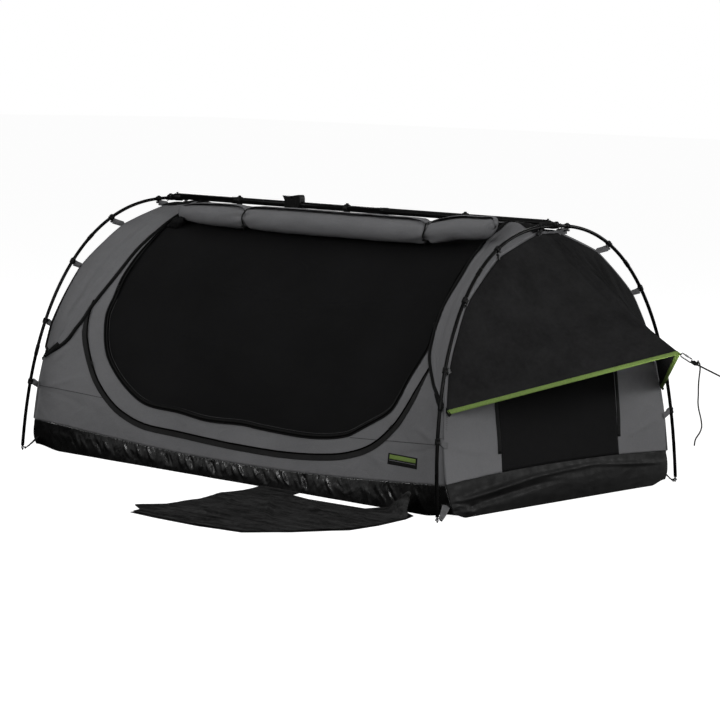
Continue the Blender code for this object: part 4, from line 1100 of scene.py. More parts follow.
def build_tub():
    low = FLOOR_GAP
    inner_share = 0.985
    corner_angle = tunnel_angle_at_height(inner_share, tub_end_top(END_HALF_WIDTH))
    top_corner = tunnel_point(inner_share, corner_angle).y

    def corner_lift(share, v):
        return 0.018 * fade(abs(share), 0.88, 1.0) * (1 - v) ** 2

    def long_side(facing):
        folds = tub_creases(facing * 3.0)

        def creased(x, z):
            total = 0.0
            for start, finish, width, depth in folds:
                if start[0] - 0.03 < x < finish[0] + 0.03:
                    total += depth * crease(x, z, start, finish, width)
            return total

        def place(u, v):
            share = 2 * u - 1
            top = tub_long_top(share * end_x(0.1)) + 0.001
            z = low + (top - low) * v + corner_lift(share, v)
            pull = corner_pull(share, 14, v)
            x = share * (end_x(z) - TUB_INSET) + (pull if share > 0 else -pull)
            wall_top = tunnel_point(share, tunnel_angle_at_height(share, top)).y
            y = TUB_HALF_WIDTH + (wall_top - TUB_HALF_WIDTH) * v + pull
            strong = sin(pi * (0.08 + 0.90 * v)) * min(1.0, (1 - abs(share)) * 18)
            puckers = 0.0026 * exp(-((v - 0.93) / 0.10) ** 2) * noise.noise(Vector((x * 90, 1.0, facing)))
            y += strong * (0.0016 * crinkle(x, z, 2.0 * facing) + 0.0035 + creased(x, z)) + puckers
            y += 0.003 * noise.noise(Vector((x * 7, 2.0, facing))) * (1 - v)
            z += 0.0020 * sin(pi * v) * noise.noise(Vector((x * 12, v * 3, facing)))
            return Vector((x, facing * y, z))
        return place

    def end_side(facing):
        def place(u, v):
            share = 2 * u - 1
            corner = TUB_HALF_WIDTH + (top_corner - TUB_HALF_WIDTH) * v - 0.0012
            pull = corner_pull(share, 10, v)
            y = share * corner + (pull if share > 0 else -pull)
            z = low + (tub_end_top(y) + 0.001 - low) * v + corner_lift(share, v)
            bulge = TUB_BULGE * sin(pi * v) * cos(pi / 2 * share)
            strong = sin(pi * (0.05 + 0.93 * v)) * min(1.0, (1 - abs(share)) * 16)
            w = y * facing
            fold = 0.0018 * strong * crinkle(y * 0.45, z * 1.5, 11.0 + facing)
            fold += 0.0140 * strong * crease(w, v, (-0.66, 0.42), (-0.08, 0.82), 0.060)
            fold += 0.0120 * strong * crease(w, v, (-0.26, 0.72), (0.30, 0.86), 0.050)
            fold += 0.0090 * strong * crease(w, v, (0.10, 0.86), (0.66, 0.62), 0.045)
            fold -= 0.0120 * strong * crease(w, v, (-0.60, 0.22), (-0.05, 0.62), 0.070)
            near = exp(-((w + 0.56) / 0.09) ** 2) * exp(-((v - 0.22) / 0.16) ** 2)
            fold += 0.0110 * near * crinkle(y * 1.2, z * 2.2, 14.0 + facing)
            return Vector((facing * (end_x(z) - TUB_INSET + bulge + pull + fold), y, z))
        return place
    cloth("tub_front_pvc", "pvc", 620, 26, long_side(-1), CLOTH_THICK, -1.0, ["tub_front"])
    cloth("tub_back_pvc", "pvc", 360, 16, long_side(1), CLOTH_THICK, 1.0, ["tub_back"])
    cloth("tub_end_left_pvc", "matt", 180, 24, end_side(-1), CLOTH_THICK, 1.0, ["tub_end_left"])
    cloth("tub_end_right_pvc", "matt", 220, 28, end_side(1), CLOTH_THICK, -1.0, ["tub_end_right"])

    def floor(u, v):
        x = (FOOT_X - TUB_INSET - 0.004) * (2 * u - 1)
        y = (TUB_HALF_WIDTH - 0.004) * (2 * v - 1)
        raised = corner_lift(2 * u - 1, 0.0) * fade(abs(2 * v - 1), 0.86, 1.0)
        return Vector((x, y, 0.0022 + raised + 0.0006 * ripples((x, y, 0), 5.0, 61.0)))
    cloth("floor_pvc", "pvc", 70, 40, floor, CLOTH_THICK, -1.0, ["floor_sheet"])


def door_path(half_width, bottom, start, run_up, spacing=0.009):
    """A zip's route in X and Z: up beside the left piping, round the U and up beside the right one."""
    centre_x = half_width - DOOR_CORNER
    centre_z = bottom + DOOR_CORNER
    turns = [start + (pi / 2 - start) * i / 60 for i in range(61)]
    clearance = PIPING_RADIUS + TAPE_WIDTH / 2 + SEAM
    shoulder = centre_z - DOOR_CORNER * sin(start)
    merged = [shoulder + run_up * i / 24 for i in range(24, 0, -1)]
    left = [(clearance - piping_x(z), z) for z in merged]
    left += [(-centre_x - DOOR_CORNER * cos(t), centre_z - DOOR_CORNER * sin(t)) for t in turns]
    line = left + [(-x, z) for x, z in reversed(left)]
    return [(p.x, p.y) for p in along_path([(x, z, 0) for x, z in line], spacing)]


def build_zip(name, route, facing, lift, node, half, look, coil_side):
    """A zip's tape with its coil: coil_side is 1 on the door's side of the tape and 0 along its middle."""
    form = Form()
    points, out = [], []
    for x, z in route:
        share = share_at(x, z)
        out.append(tunnel_normal(share, facing * tunnel_angle_at_height(share, z)))
        points.append(wall_point(x, z, facing, 0.0018 + lift(x, z, facing)))
    last = len(points) - 1

    def taper(s):
        return half * min(1.0, 0.25 + 14 * min(s, 1 - s))
    ribbon(form, points, out, taper, 0.0012)
    form.piece(name, look, [node])
    form = Form()
    coil = []
    for i, (point, normal) in enumerate(zip(points, out)):
        along = (points[min(i + 1, last)] - points[max(i - 1, 0)]).normalized()
        inward = along.cross(normal) * facing
        coil.append(point + normal * 0.0010 + inward * (coil_side * (taper(i / last) - 0.003)))
    sweep(form, coil, 0.0030, 8)
    form.piece(name + "_coil", "coil")
    form = Form()
    for spot in (30, last - 30):
        along = (coil[spot + 1] - coil[spot - 1]).normalized()
        across = along.cross(out[spot])
        matrix = frame_of(along, across, out[spot], coil[spot] + out[spot] * 0.0020)
        soft_box(form, (0.013, 0.008, 0.0035), matrix, 0.3)
        pull = [matrix @ Vector((0.004 - 0.007 * i, 0.0, 0.0026 - 0.0007 * i)) for i in range(4)]
        ribbon(form, pull, out[spot], 0.003, 0.0012)
    form.piece(name + "_sliders", "plastic")
    return points, out


def build_zips():
    def measured(route):
        return [(p.x, p.y) for p in smooth_route([(x, z, 0) for x, z in route], 0.009)]
    build_zip("door_zip_outer_tape", measured(OUTER_ZIP), -1, wall_lift, "door_zip_outer", 0.0130, "flap", 1)
    points, out = build_zip("door_zip_inner_tape", measured(INNER_ZIP), -1,
                            lambda x, z, f: max(wall_lift(x, z, f), 0.0), "door_zip_inner", 0.0085, "tape", 0)
    back_route = door_path(ZIP_HALF_WIDTH, ZIP_BOTTOM, ZIP_START, ZIP_RUN_UP)
    build_zip("back_door_zip_tape", back_route, 1, wall_lift, "back_door_zip", 0.0118, "flap", 1)
    form = Form()
    hem = []
    for i in range(34, len(points) - 34):
        along = (points[i + 1] - points[i - 1]).normalized()
        hem.append(points[i] + along.cross(out[i]) * -0.0135 - out[i] * 0.0045)
    sweep(form, hem, 0.0009, 6)
    form.piece("door_mesh_hem", "thread")


def build_wall_seams():
    """The sewn joint low on each long side, between the outer zip and the ends."""
    for facing, word in ((-1, "front"), (1, "back")):
        form = Form()
        for side, start in ((-1, 0.715), (1, 0.56)):
            line = []
            for i in range(61):
                x = side * (start + (1.045 - start) * i / 60)
                z = 0.215 + 0.045 * (x / 1.045) ** 2
                line.append(wall_point(x, z, facing, 0.0004 + wall_lift(x, z, facing)))
            sweep(form, line, 0.0008, 6)
        form.piece("wall_seam_" + word, "cord")


def piping_route(side, lift):
    front, back = [], []
    rows = 90
    for row in range(rows):
        z = upper_height(PIPING_X, row / rows) + (0.004 if row == 0 else 0.0)
        front.append(wall_point(side * seam_x(side, -1, z), z, -1, lift))
        back.append(wall_point(side * piping_x(z), z, 1, lift))
    share = side * share_at(PIPING_X, MID_TOP_Z)
    strip = tunnel_angle_at_width(share, ROOF_HALF_WIDTH)
    over = [tunnel_point(share, strip * step) + tunnel_normal(share, strip * step + 0.0001) * lift
            for step in (-1, -0.5, 0, 0.5, 1)]
    return front + over + back[::-1]


def build_piping():
    for side, word in SIDES:
        form = Form()
        sweep(form, piping_route(side, PIPING_RADIUS * 0.9), PIPING_RADIUS, 12)
        flat_route = piping_route(side, 0.0016)
        out = []
        for low, high in zip(flat_route, piping_route(side, 0.0116)):
            out.append((high - low).normalized())
        ribbon(form, flat_route, out, 0.0080, 0.0014)
        form.piece("piping_%s_cord" % word, "tape", ["piping_" + word])
        form = Form()
        for shift in (-0.0106, 0.0106):
            moved = [p + Vector((side * shift, 0, 0)) for p in piping_route(side, 0.0010)]
            stitches(form, moved, (0, 0, 1), 0.008, 0.00045)
        form.piece("piping_%s_stitches" % word, "cord")


def roll_full_radius(x):
    if x < 0:
        return 0.053 - 0.033 * (x / 0.80) ** 6
    return 0.053 - 0.006 * (x / 0.80) ** 4


def roll_radius(x):
    radius = roll_full_radius(x)
    for place in TIE_PLACES:
        radius -= TIE_CINCH * max(0.0, 1 - abs(x - place) / 0.10) ** 2
        radius -= 0.012 * exp(-((x - place) / 0.013) ** 2)
    return radius


def roll_centre(x):
    share = x / cloth_end_x(0.93)
    angle = -tunnel_angle_at_width(share, ROLL_SEAT_Y + 0.010)
    raised = 0.005 + 0.014 * fade(x, 0.56, 0.70) - 0.007 * fade(x, 0.70, 0.80)
    offset = tunnel_normal(share, angle) * (roll_full_radius(x) + 0.0001)
    return tunnel_point(share, angle) + offset + Vector((0, 0.003, raised))


def build_roll():
    turns = 3.4
    inner = 0.010

    def place(u, v):
        x = -0.757 + 1.601 * u
        wound = turns * v
        outer = roll_radius(x)
        if x > 0.805:
            outer *= max(0.03, 1 - ((x - 0.805) / 0.0395) ** 4) ** 0.5
        radius = outer - (outer - min(inner, 0.5 * outer)) * wound / turns
        angle = 1.9 - tau * wound
        pucker = 0.0
        for tie in TIE_PLACES:
            near = exp(-((x - tie) / 0.06) ** 2)
            pucker += 0.0050 * near * sin(angle * 6 + 26 * (x - tie)) * (0.6 + 0.4 * sin(angle * 2 + tie * 9))
        soft = 0.0030 * ripples((x * 0.8, cos(angle) * 0.08, sin(angle) * 0.08), 6.0, 71.0)
        radius += pucker + soft * min(1.0, (1 - abs(2 * u - 1)) * 12 + 0.3)
        lag = 0.010 * noise.noise(Vector((wound * 3, 0.5, u > 0.5))) * abs(2 * u - 1) ** 8
        centre = roll_centre(x)
        slant = 0.40 * fade(x, 0.70, 0.80) * radius * sin(angle)
        return Vector((x + lag + slant, centre.y + radius * cos(angle), centre.z + radius * sin(angle)))
    obj = cloth("door_roll_canvas", "canvas", 150, 130, place, CLOTH_THICK, 0.0, ["door_roll"])
    for (side, word), x in zip(SIDES, TIE_PLACES):
        form = Form()
        centre = roll_centre(x)
        radius = roll_radius(x) + 0.0016
        ring, out = [], []
        for i in range(49):
            t = tau * i / 48
            direction = Vector((0, cos(t), sin(t)))
            under = 0.0012 + 0.0030 * sin(4 * t + 9 * x)
            ring.append(centre + direction * (radius + under) + Vector((0.004 * sin(3 * t), 0, 0)))
            out.append(direction)
        ribbon(form, ring, out, 0.0032, 0.0012)
        low = centre + Vector((0, -radius * 0.55, -radius * 0.84))
        toggle = [low + Vector((-0.012, -0.004, -0.002)), low + Vector((0.012, -0.004, -0.002))]
        sweep(form, toggle, 0.0035, 10)
        tail = [low + Vector((0.0, -0.005, -0.001)), low + Vector((0.002, -0.008, -0.010)),
                low + Vector((0.001, -0.007, -0.022))]
        sweep(form, tail, 0.0014, 6)
        top = centre + Vector((0.004, radius * 0.2, radius * 0.98))
        ribbon(form, [top + Vector((-0.012, -0.006, 0.001)), top + Vector((0.010, 0.004, 0.002))],
               (0, 0, 1), 0.004, 0.0015)
        form.piece("door_tie_%s_strap" % word, "tape", ["door_tie_" + word])

    def bunched(u, v):
        t = tau * v
        swell = 0.30 + 0.80 * sin(pi * min(1.0, 0.10 + u * 0.90)) ** 1.5
        radius = 0.017 * swell + 0.0062 * crinkle(u * 0.30, v * 0.20, 15.0)
        centre = roll_centre(-0.74) + Vector((0, -0.022 - 0.010 * u, -0.026 - 0.034 * u))
        return Vector((-0.715 - 0.092 * u, centre.y + radius * cos(t), centre.z + radius * sin(t)))
    cloth("gathered_mesh", "mesh", 60, 56, bunched, MESH_THICK, 0.0)


def build_hoop(side, word):
    form = Form()
    low_angle = acos((HOOP_FOOT_Z / HOOP_HEIGHT) ** (HOOP_SQUARENESS / 2))
    route = [hoop_point(side, low_angle * (2 * i / 170 - 1)) for i in range(171)]
    sweep(form, route, POLE_LOOK, 16, normal=(1, 0, 0))
    for turn in (-0.60, 0.60, -1.22, 1.22):
        sleeve = [hoop_point(side, turn + 0.0045 * k) for k in range(-5, 6)]
        sweep(form, sleeve, lambda s: POLE_LOOK + 0.0012 * min(1.0, sin(pi * s) * 6 + 0.15), 16,
              normal=(1, 0, 0))
    form.piece("hoop_%s_pole" % word, "pole", ["hoop_" + word])
    form = Form()
    tabs = Form()
    for leg in (-1, 1):
        for number, clip_angle in enumerate(CLIP_ANGLES):
            angle = leg * clip_angle
            centre = hoop_point(side, angle)
            along = (hoop_point(side, angle + 0.01) - hoop_point(side, angle - 0.01)).normalized()
            inward = hoop_inward(angle)
            inward = (inward - along * along.dot(inward)).normalized()
            out = along.cross(inward)
            matrix = frame_of(inward, out, along, centre)
            profile = [(0.0068, -0.011), (0.0088, -0.0106), (0.0097, -0.0090), (0.0097, -0.0045),
                       (0.0089, -0.0035), (0.0089, 0.0035), (0.0097, 0.0045), (0.0097, 0.0090),
                       (0.0088, 0.0106), (0.0068, 0.011)]
            lathe(form, profile, matrix, 20)
            neck = matrix @ Matrix.Translation((0.0115, 0, 0))
            soft_box(form, (0.010, 0.006, 0.013), neck, 0.2)
            bar = matrix @ Matrix.Translation((0.0165, 0, 0))
            soft_box(form, (0.0045, 0.0065, 0.025), bar, 0.3)
            ear = matrix @ Matrix.Translation((-0.0095, 0, 0))
            soft_box(form, (0.0055, 0.0045, 0.012), ear, 0.3)
            root = arch_point(leg * TAB_ROOTS[number])
            top = centre + inward * 0.0165
            sewn = Vector((side * (cloth_end_x(root[1]) + 0.0046), root[0], root[1]))
            drop = (sewn - top).normalized()
            outward = Vector((side, 0, 0))
            outward = (outward - drop * drop.dot(outward)).normalized()
            end = sewn + Vector((-side * CLOTH_LEAN * -0.012, 0, 0)) + inward * 0.014
            path = [top + outward * 0.0042, top.lerp(sewn, 0.5) + outward * 0.0022, sewn + outward * 0.0006,
                    sewn.lerp(end, 0.5) + outward * 0.0004, end + outward * 0.0002]
            ribbon(tabs, path, outward, TAB_WIDTH / 2, 0.0018)
            back = [top - outward * 0.0042, top.lerp(sewn, 0.5) - outward * 0.0005, sewn - outward * 0.0014]
            ribbon(tabs, back, outward, TAB_WIDTH / 2, 0.0016)
            wrap = [top + outward * 0.0042, top - inward * 0.0040 + outward * 0.0022,
                    top - inward * 0.0040 - outward * 0.0022, top - outward * 0.0042]
            ribbon(tabs, wrap, [outward, -inward, -inward, -outward], TAB_WIDTH / 2, 0.0014)
    form.piece("hoop_%s_clips" % word, "plastic")
    tabs.piece("hoop_%s_tabs" % word, "webbing")


def build_foot(side, facing, word):
    low_angle = acos((HOOP_FOOT_Z / HOOP_HEIGHT) ** (HOOP_SQUARENESS / 2))
    foot = hoop_point(side, facing * low_angle)
    matrix = Matrix.Translation((foot.x, foot.y, 0))
    form = Form()
    profile = [(0.0008, 0.0), (0.0022, 0.0012), (0.0030, 0.0035), (0.0030, 0.0135), (0.0052, 0.0142),
               (0.0056, 0.0155), (0.0052, 0.0168), (0.0034, 0.0174), (0.0034, 0.0186)]
    lathe(form, profile, matrix, 16)
    ring_radius = 0.011
    centre = Vector((foot.x, foot.y - facing * 0.0072, 0.010))
    ring = [centre + Vector((cos(t) * ring_radius, sin(t) * ring_radius, 0.0015 * sin(t)))
            for t in turns(32)]
    sweep(form, ring, 0.0016, 10, closed=True)
    form.piece("foot_pin_%s_steel" % word, "steel", ["foot_pin_" + word])
    form = Form()
    start = Vector((foot.x, centre.y - facing * (ring_radius + 0.001), 0.010))
    finish = Vector((foot.x - side * 0.016, facing * (TUB_HALF_WIDTH + 0.009 + CORNER_PULL), 0.052))
    path = [start.lerp(finish, i / 10) + Vector((0, 0, -0.003 * sin(pi * i / 10))) for i in range(11)]
    ribbon(form, path, (side * 0.6, facing, 1.2), lambda s: 0.008 + 0.007 * s, 0.0020)
    under = [start + Vector((0, facing * 0.0030, 0.0022)), start + Vector((0, facing * 0.0042, 0)),
             start + Vector((0, facing * 0.0030, -0.0022)), start.lerp(finish, 0.25) - Vector((0, 0, 0.005))]
    ribbon(form, under, [(0, facing, 0.6), (0, facing, 0), (0, facing, -0.6), (0, 0.3 * facing, -1)],
           0.0078, 0.0018)
    look = "webbing" if side > 0 and facing < 0 else "strap"
    form.piece("foot_strap_%s_webbing" % word, look, ["foot_strap_" + word])


def build_ridge():
    form = Form()
    length = RIDGE_HALF_LENGTH
    along_x = Matrix(((0, 0, 1), (0, 1, 0), (-1, 0, 0))).to_4x4()
    place = Matrix.Translation((0, 0, RIDGE_Z)) @ along_x
    profile = [(RIDGE_RADIUS - 0.0015, -length), (RIDGE_RADIUS, -length + 0.0015)]
    for collar in (-0.62, 0.17):
        profile += [(RIDGE_RADIUS, collar - 0.021), (RIDGE_RADIUS + 0.0014, collar - 0.019),
                    (RIDGE_RADIUS + 0.0014, collar + 0.019), (RIDGE_RADIUS, collar + 0.021)]
    profile += [(RIDGE_RADIUS, length - 0.0015), (RIDGE_RADIUS - 0.0015, length)]
    lathe(form, profile, place, 32)
    form.piece("ridge_tube", "pole", ["ridge_pole"])
    for word, x in (("left", -0.60), ("middle", -0.02), ("right", 0.57)):
        form = Form()
        spot = Matrix.Translation((x, 0, RIDGE_Z)) @ along_x
        ring = [(RIDGE_RADIUS + SEAM, -0.011), (RIDGE_RADIUS + 0.0030, -0.0104),
                (RIDGE_RADIUS + 0.0036, -0.0085), (RIDGE_RADIUS + 0.0036, 0.0085),
                (RIDGE_RADIUS + 0.0030, 0.0104), (RIDGE_RADIUS + SEAM, 0.011)]
        lathe(form, ring, spot, 28)
        soft_box(form, (0.016, 0.018, 0.009), Matrix.Translation((x, 0, MID_TOP_Z + 0.0055)), 0.2)
        soft_box(form, (0.008, 0.010, 0.006), Matrix.Translation((x, 0, RIDGE_Z + 0.0175)), 0.3)
        form.piece("ridge_clip_%s_moulding" % word, "plastic", ["ridge_clip_" + word])
    outline = [(-0.352, 0.034), (-0.3455, 0.0265), (-0.339, 0.015), (-0.341, -0.004), (-0.338, -0.014),
               (-0.333, -0.018), (-0.264, -0.018), (-0.2600, -0.012), (-0.257, 0.010), (-0.2575, 0.026),
               (-0.2595, 0.034), (-0.263, 0.0385), (-0.268, 0.040), (-0.276, 0.0385), (-0.292, 0.036),
               (-0.310, 0.0325), (-0.330, 0.0325)]
    bm = bmesh.new()
    ring = [bm.verts.new((x, -0.016, RIDGE_Z + z)) for x, z in outline]
    face = bm.faces.new(ring)
    grown = bmesh.ops.extrude_face_region(bm, geom=[face])
    moved = [item for item in grown["geom"] if isinstance(item, bmesh.types.BMVert)]
    bmesh.ops.translate(bm, vec=(0, 0.032, 0), verts=moved)
    bmesh.ops.recalc_face_normals(bm, faces=bm.faces)
    data = bpy.data.meshes.new("ridge_bracket_moulding")
    bm.to_mesh(data)
    bm.free()
    bracket = add_piece("ridge_bracket_moulding", data, "plastic", ["ridge_bracket"])
    form = Form()
    pin = Matrix(((1, 0, 0), (0, 0, -1), (0, 1, 0))).to_4x4()
    lathe(form, [(0.0048, -0.03), (0.0048, 0.03)],
                  Matrix.Translation((-0.300, 0, RIDGE_Z + 0.026)) @ pin, 24)
    lathe(form, [(RIDGE_RADIUS + SEAM, -0.06), (RIDGE_RADIUS + SEAM, 0.06)],
                  Matrix.Translation((-0.300, 0, RIDGE_Z)) @ along_x, 32)
    hole_data = bpy.data.meshes.new("bracket_holes")
    hole_data.from_pydata([tuple(v) for v in form.verts], [], form.faces)
    hole = bpy.data.objects.new("bracket_holes", hole_data)
    bpy.context.scene.collection.objects.link(hole)
    cut = bracket.modifiers.new("holes", "BOOLEAN")
    cut.solver = "EXACT"
    cut.object = hole
    bevel = bracket.modifiers.new("soft_edges", "BEVEL")
    bevel.width = 0.0012
    bevel.segments = 2
    bevel.angle_limit = radians(35)
    apply_modifiers(bracket)
    bpy.data.objects.remove(hole)
    form = Form()
    for y in (-0.0165, 0.0165):
        for x in (-0.322, -0.276):
            soft_box(form, (0.004, 0.0035, 0.030), Matrix.Translation((x, y, RIDGE_Z + 0.004)), 0.3)
    form.piece("ridge_bracket_ribs", "plastic")
    for side, word in SIDES:
        build_hub(side, word, along_x)


def apply_modifiers(obj):
    evaluated = obj.evaluated_get(bpy.context.evaluated_depsgraph_get())
    data = bpy.data.meshes.new_from_object(evaluated)
    obj.modifiers.clear()
    obj.data = data


def build_hub(side, word, along_x):
    form = Form()
    hoop_x = side * end_x(HOOP_HEIGHT)
    inner = RIDGE_HALF_LENGTH - 0.030
    outer = end_x(HOOP_HEIGHT) + 0.016
    lower = RIDGE_Z - 0.004
    flip = Matrix.Scale(side, 4, (0, 0, 1))
    spot = Matrix.Translation((0, 0, lower)) @ along_x @ flip
    profile = [(0.0130, inner), (0.0142, inner + 0.0008), (0.0148, inner + 0.003), (0.0148, inner + 0.022),
               (0.0152, inner + 0.026), (0.0152, inner + 0.038), (0.0120, inner + 0.044),
               (0.0105, outer - 0.010), (0.0130, outer - 0.008), (0.0130, outer - 0.002), (0.0060, outer)]
    lathe(form, profile, spot, 32)
    cross = [Vector((hoop_x, -0.024 + 0.006 * i, HOOP_HEIGHT + 0.0002)) for i in range(9)]
    sweep(form, cross, lambda s: 0.0095 + 0.0015 * sin(pi * s), 18)
    screw = Matrix.Translation((hoop_x - side * 0.028, 0, lower + 0.0185))
    lathe(form, [(0.0042, -0.002), (0.0042, 0.0012), (0.0034, 0.0018)], screw, 16)
    form.piece("hub_%s_moulding" % word, "plastic", ["hub_" + word])
    form = Form()
    centre = Vector((side * (outer + 0.0105), 0, RIDGE_Z - 0.010))
    loop = [centre + Vector((cos(t) * 0.008, 0.002 * sin(t), sin(t) * 0.011))
            for t in turns(36)]
    sweep(form, loop, 0.0018, 10, closed=True)
    form.piece("hub_loop_%s_cord" % word, "cord", ["hub_loop_" + word])


def smooth_route(points, spacing):
    route = [Vector(p) for p in points]
    ends = [2 * route[0] - route[1]] + route + [2 * route[-1] - route[-2]]
    dense = []
    for before, start, finish, after in zip(ends, ends[1:], ends[2:], ends[3:]):
        pieces = max(1, round((finish - start).length / spacing))
        for i in range(pieces):
            t = i / pieces
            dense.append(0.5 * (2 * start + (finish - before) * t
                                + (2 * before - 5 * start + 4 * finish - after) * t ** 2
                                + (3 * start - before - 3 * finish + after) * t ** 3))
    dense.append(route[-1])
    return dense


def build_guy():
    direction = Vector((LINK_LENGTH, 0, -LINK_DROP)).normalized()
    across = Vector((0, 1, 0))
    upright = across.cross(direction)
    if upright.z < 0:
        upright.negate()
    start = AWNING_TIP + direction * (GAP + 0.0001)
    middle = start + direction * (LINK_LENGTH / 2 + LINK_WIRE)
    straight = LINK_LENGTH / 2 - LINK_RADIUS
    form = Form()
    loop = []
    for i in range(64):
        t = tau * i / 64
        shift = straight if cos(t) > 0 else -straight
        loop.append(middle + direction * (shift + LINK_RADIUS * cos(t)) + upright * (LINK_RADIUS * sin(t)))
    sweep(form, loop, 0.0025, 12, closed=True)
    gate = [middle + direction * (-0.010 + 0.004 * i) + upright * LINK_RADIUS for i in range(6)]
    sweep(form, gate, lambda s: 0.0025 + 0.0010 * min(1.0, 8 * sin(pi * s)), 12)
    form.piece("guy_link_steel", "steel", ["guy_link"])
    slider_start = middle + direction * (LINK_LENGTH / 2 + LINK_WIRE + SEAM)
    slider_end = slider_start + direction * SLIDER_LENGTH
    centre = (slider_start + slider_end) / 2
    turn = frame_of(direction, across, direction.cross(across), centre)
    form = Form()
    for y in (-0.0085, 0.0085):
        soft_box(form, (SLIDER_LENGTH, 0.005, 0.0085), turn @ Matrix.Translation((0, y, 0)), 0.25)
    for x in (-0.0085, 0.0, 0.0085):
        soft_box(form, (0.005, 0.018, 0.0080), turn @ Matrix.Translation((x, 0, 0)), 0.25)
    sweep(form, [turn @ Vector((-0.013, 0, 0)), turn @ Vector((0.010, -0.003, 0.004))], 0.0024, 8)
    form.piece("guy_slider_moulding", "plastic", ["guy_slider"])
    hook, peg_radius = 0.010, 0.0035
    shoulder = Vector((3.00, 0.24, 0.055 - hook - peg_radius))
    peg_top = shoulder - Vector((0, 0, 0.008))
    rope_start = slider_end + direction * SEAM
    along = (peg_top - rope_start).normalized()
    ring_radius = peg_radius + SEAM + ROPE_RADIUS
    form = Form()
    rope_end = peg_top - along * (ring_radius - 0.0005)
    rope = [rope_start.lerp(rope_end, i / 900) for i in range(901)]
    braid(form, rope)
    eye = [peg_top + Vector((cos(t) * ring_radius, sin(t) * ring_radius, -0.3 * cos(t) * ring_radius))
           for t in turns(40)]
    sweep(form, eye, ROPE_LOOK, 10, closed=True)
    knot = peg_top - along * (ring_radius + 0.010)
    for shift in (-0.005, 0.0, 0.005):
        coil = [knot + along * shift + Vector((0, cos(t) * 0.0030, sin(t) * 0.0030))
                for t in turns(20)]
        sweep(form, coil, 0.0018, 8, closed=True)
    form.piece("guy_rope_braid", "cord", ["guy_rope"])
    form = Form()
    peg = [Vector((shoulder.x, shoulder.y, 0)), shoulder]
    for i in range(1, 17):
        t = pi * i / 16
        peg.append(shoulder + Vector((hook * (1 - cos(t)), 0, hook * sin(t))))
    peg.append(peg[-1] + Vector((0, 0, -hook)))
    sweep(form, peg, peg_radius, 14)
    form.piece("guy_peg_steel", "steel", ["guy_peg"])


def braid(form, points):
    """Adds a braided rope: the strands wind round it both ways and stand out a little."""
    base = len(form.verts)
    sides = 12
    sweep(form, points, ROPE_LOOK, sides)
    travelled = 0.0
    for i, point in enumerate(points):
        if i:
            travelled += (point - points[i - 1]).length
        phase = tau * travelled / 0.014
        for k in range(sides):
            t = tau * k / sides
            swell = 0.14 * max(sin(2 * t + phase), sin(2 * t - phase))
            spot = base + i * sides + k
            form.verts[spot] = point + (form.verts[spot] - point) * (1 + swell)


def build_tail():
    """The guy rope's loose end, along the same route as its solid."""
    direction = Vector((LINK_LENGTH, 0, -LINK_DROP)).normalized()
    slider_end = AWNING_TIP + direction * (GAP + 0.0001 + LINK_LENGTH + 2 * LINK_WIRE + SEAM + SLIDER_LENGTH)
    tail_start = slider_end + direction * GAP - Vector((0, TAIL_SHIFT, 0))
    route = smooth_route([tail_start, tail_start + direction * 0.004] + TAIL_ROUTE, 0.010)
    data = bpy.data.curves.new("guy_tail_cord", "CURVE")
    data.dimensions = "3D"
    data.bevel_depth = ROPE_LOOK
    data.bevel_resolution = 4
    data.use_fill_caps = True
    spline = data.splines.new("POLY")
    spline.points.add(len(route) - 1)
    for point, spot in zip(spline.points, route):
        point.co = (*spot, 1.0)
    tail = add_piece("guy_tail_cord", data, "cord", ["guy_tail"])
    length = sum((b - a).length for a, b in zip(route, route[1:]))


MAT_OUTLINE = [
    (0.160, -0.6328), (0.350, -0.6328), (0.372, -0.700), (0.470, -0.722), (0.738, -0.714),
    (0.768, -0.6333), (0.850, -0.6333), (0.938, -0.684), (0.965, -0.760), (0.976, -0.930), (0.972, -1.070),
    (0.875, -1.245), (0.775, -1.375), (0.600, -1.401), (0.400, -1.401), (0.267, -1.392),
    (0.259, -1.345), (0.165, -1.285), (0.225, -1.190), (0.222, -1.020), (0.175, -0.860), (0.192, -0.765),
]


def in_outline(outline, x, y):
    hit = False
    for (ax, ay), (bx, by) in zip(outline, outline[1:] + outline[:1]):
        if (ay > y) != (by > y) and x < (bx - ax) * (y - ay) / (by - ay) + ax:
            hit = not hit
    return hit


def build_mat():
    """Two layers of cloth: a flat one, and over it a creased one with one corner turned up."""
    def flat(u, v):
        return 0.14 + 0.86 * u, -1.42 + 0.80 * v

    def lower(x, y):
        return Vector((x, y, 0.0016 + 0.0010 * max(0.0, ripples((x, y, 0), 6.0, 85.0))))

    def upper(x, y):
        fold = 0.0055 * max(0.0, ripples((x, y, 0), 5.0, 81.0))
        for start, finish, width, depth in MAT_CREASES:
            fold += depth * crease(x, y, start, finish, width)
        steep = 0.080 if x < 0.932 else 0.036
        fold += 0.088 * exp(-((x - 0.932) / steep) ** 2) * fade(y, -0.765, -0.665)
        return Vector((x, y - 0.018 * fade(fold, 0.008, 0.030), 0.0046 + fold))
    middle = Vector((0.58, -1.02))
    wider = []
    for x, y in MAT_OUTLINE:
        away = (Vector((x, y)) - middle).normalized() * (0.011 if y < -0.9 and x > 0.26 else 0.0)
        wider.append((x + away.x, y + away.y))
    for name, outline, place, nodes in (("gear_mat_lower", wider, lower, ()),
                                        ("gear_mat_upper", MAT_OUTLINE, upper, ["gear_mat"])):
        def inside(x, y, outline=outline):
            return in_outline(outline, x, y)
        cut_cloth(name, "mat" if nodes else "tape", 120, 112, flat, place, inside, outline + outline[:1],
                  CLOTH_THICK, 1.0, nodes)


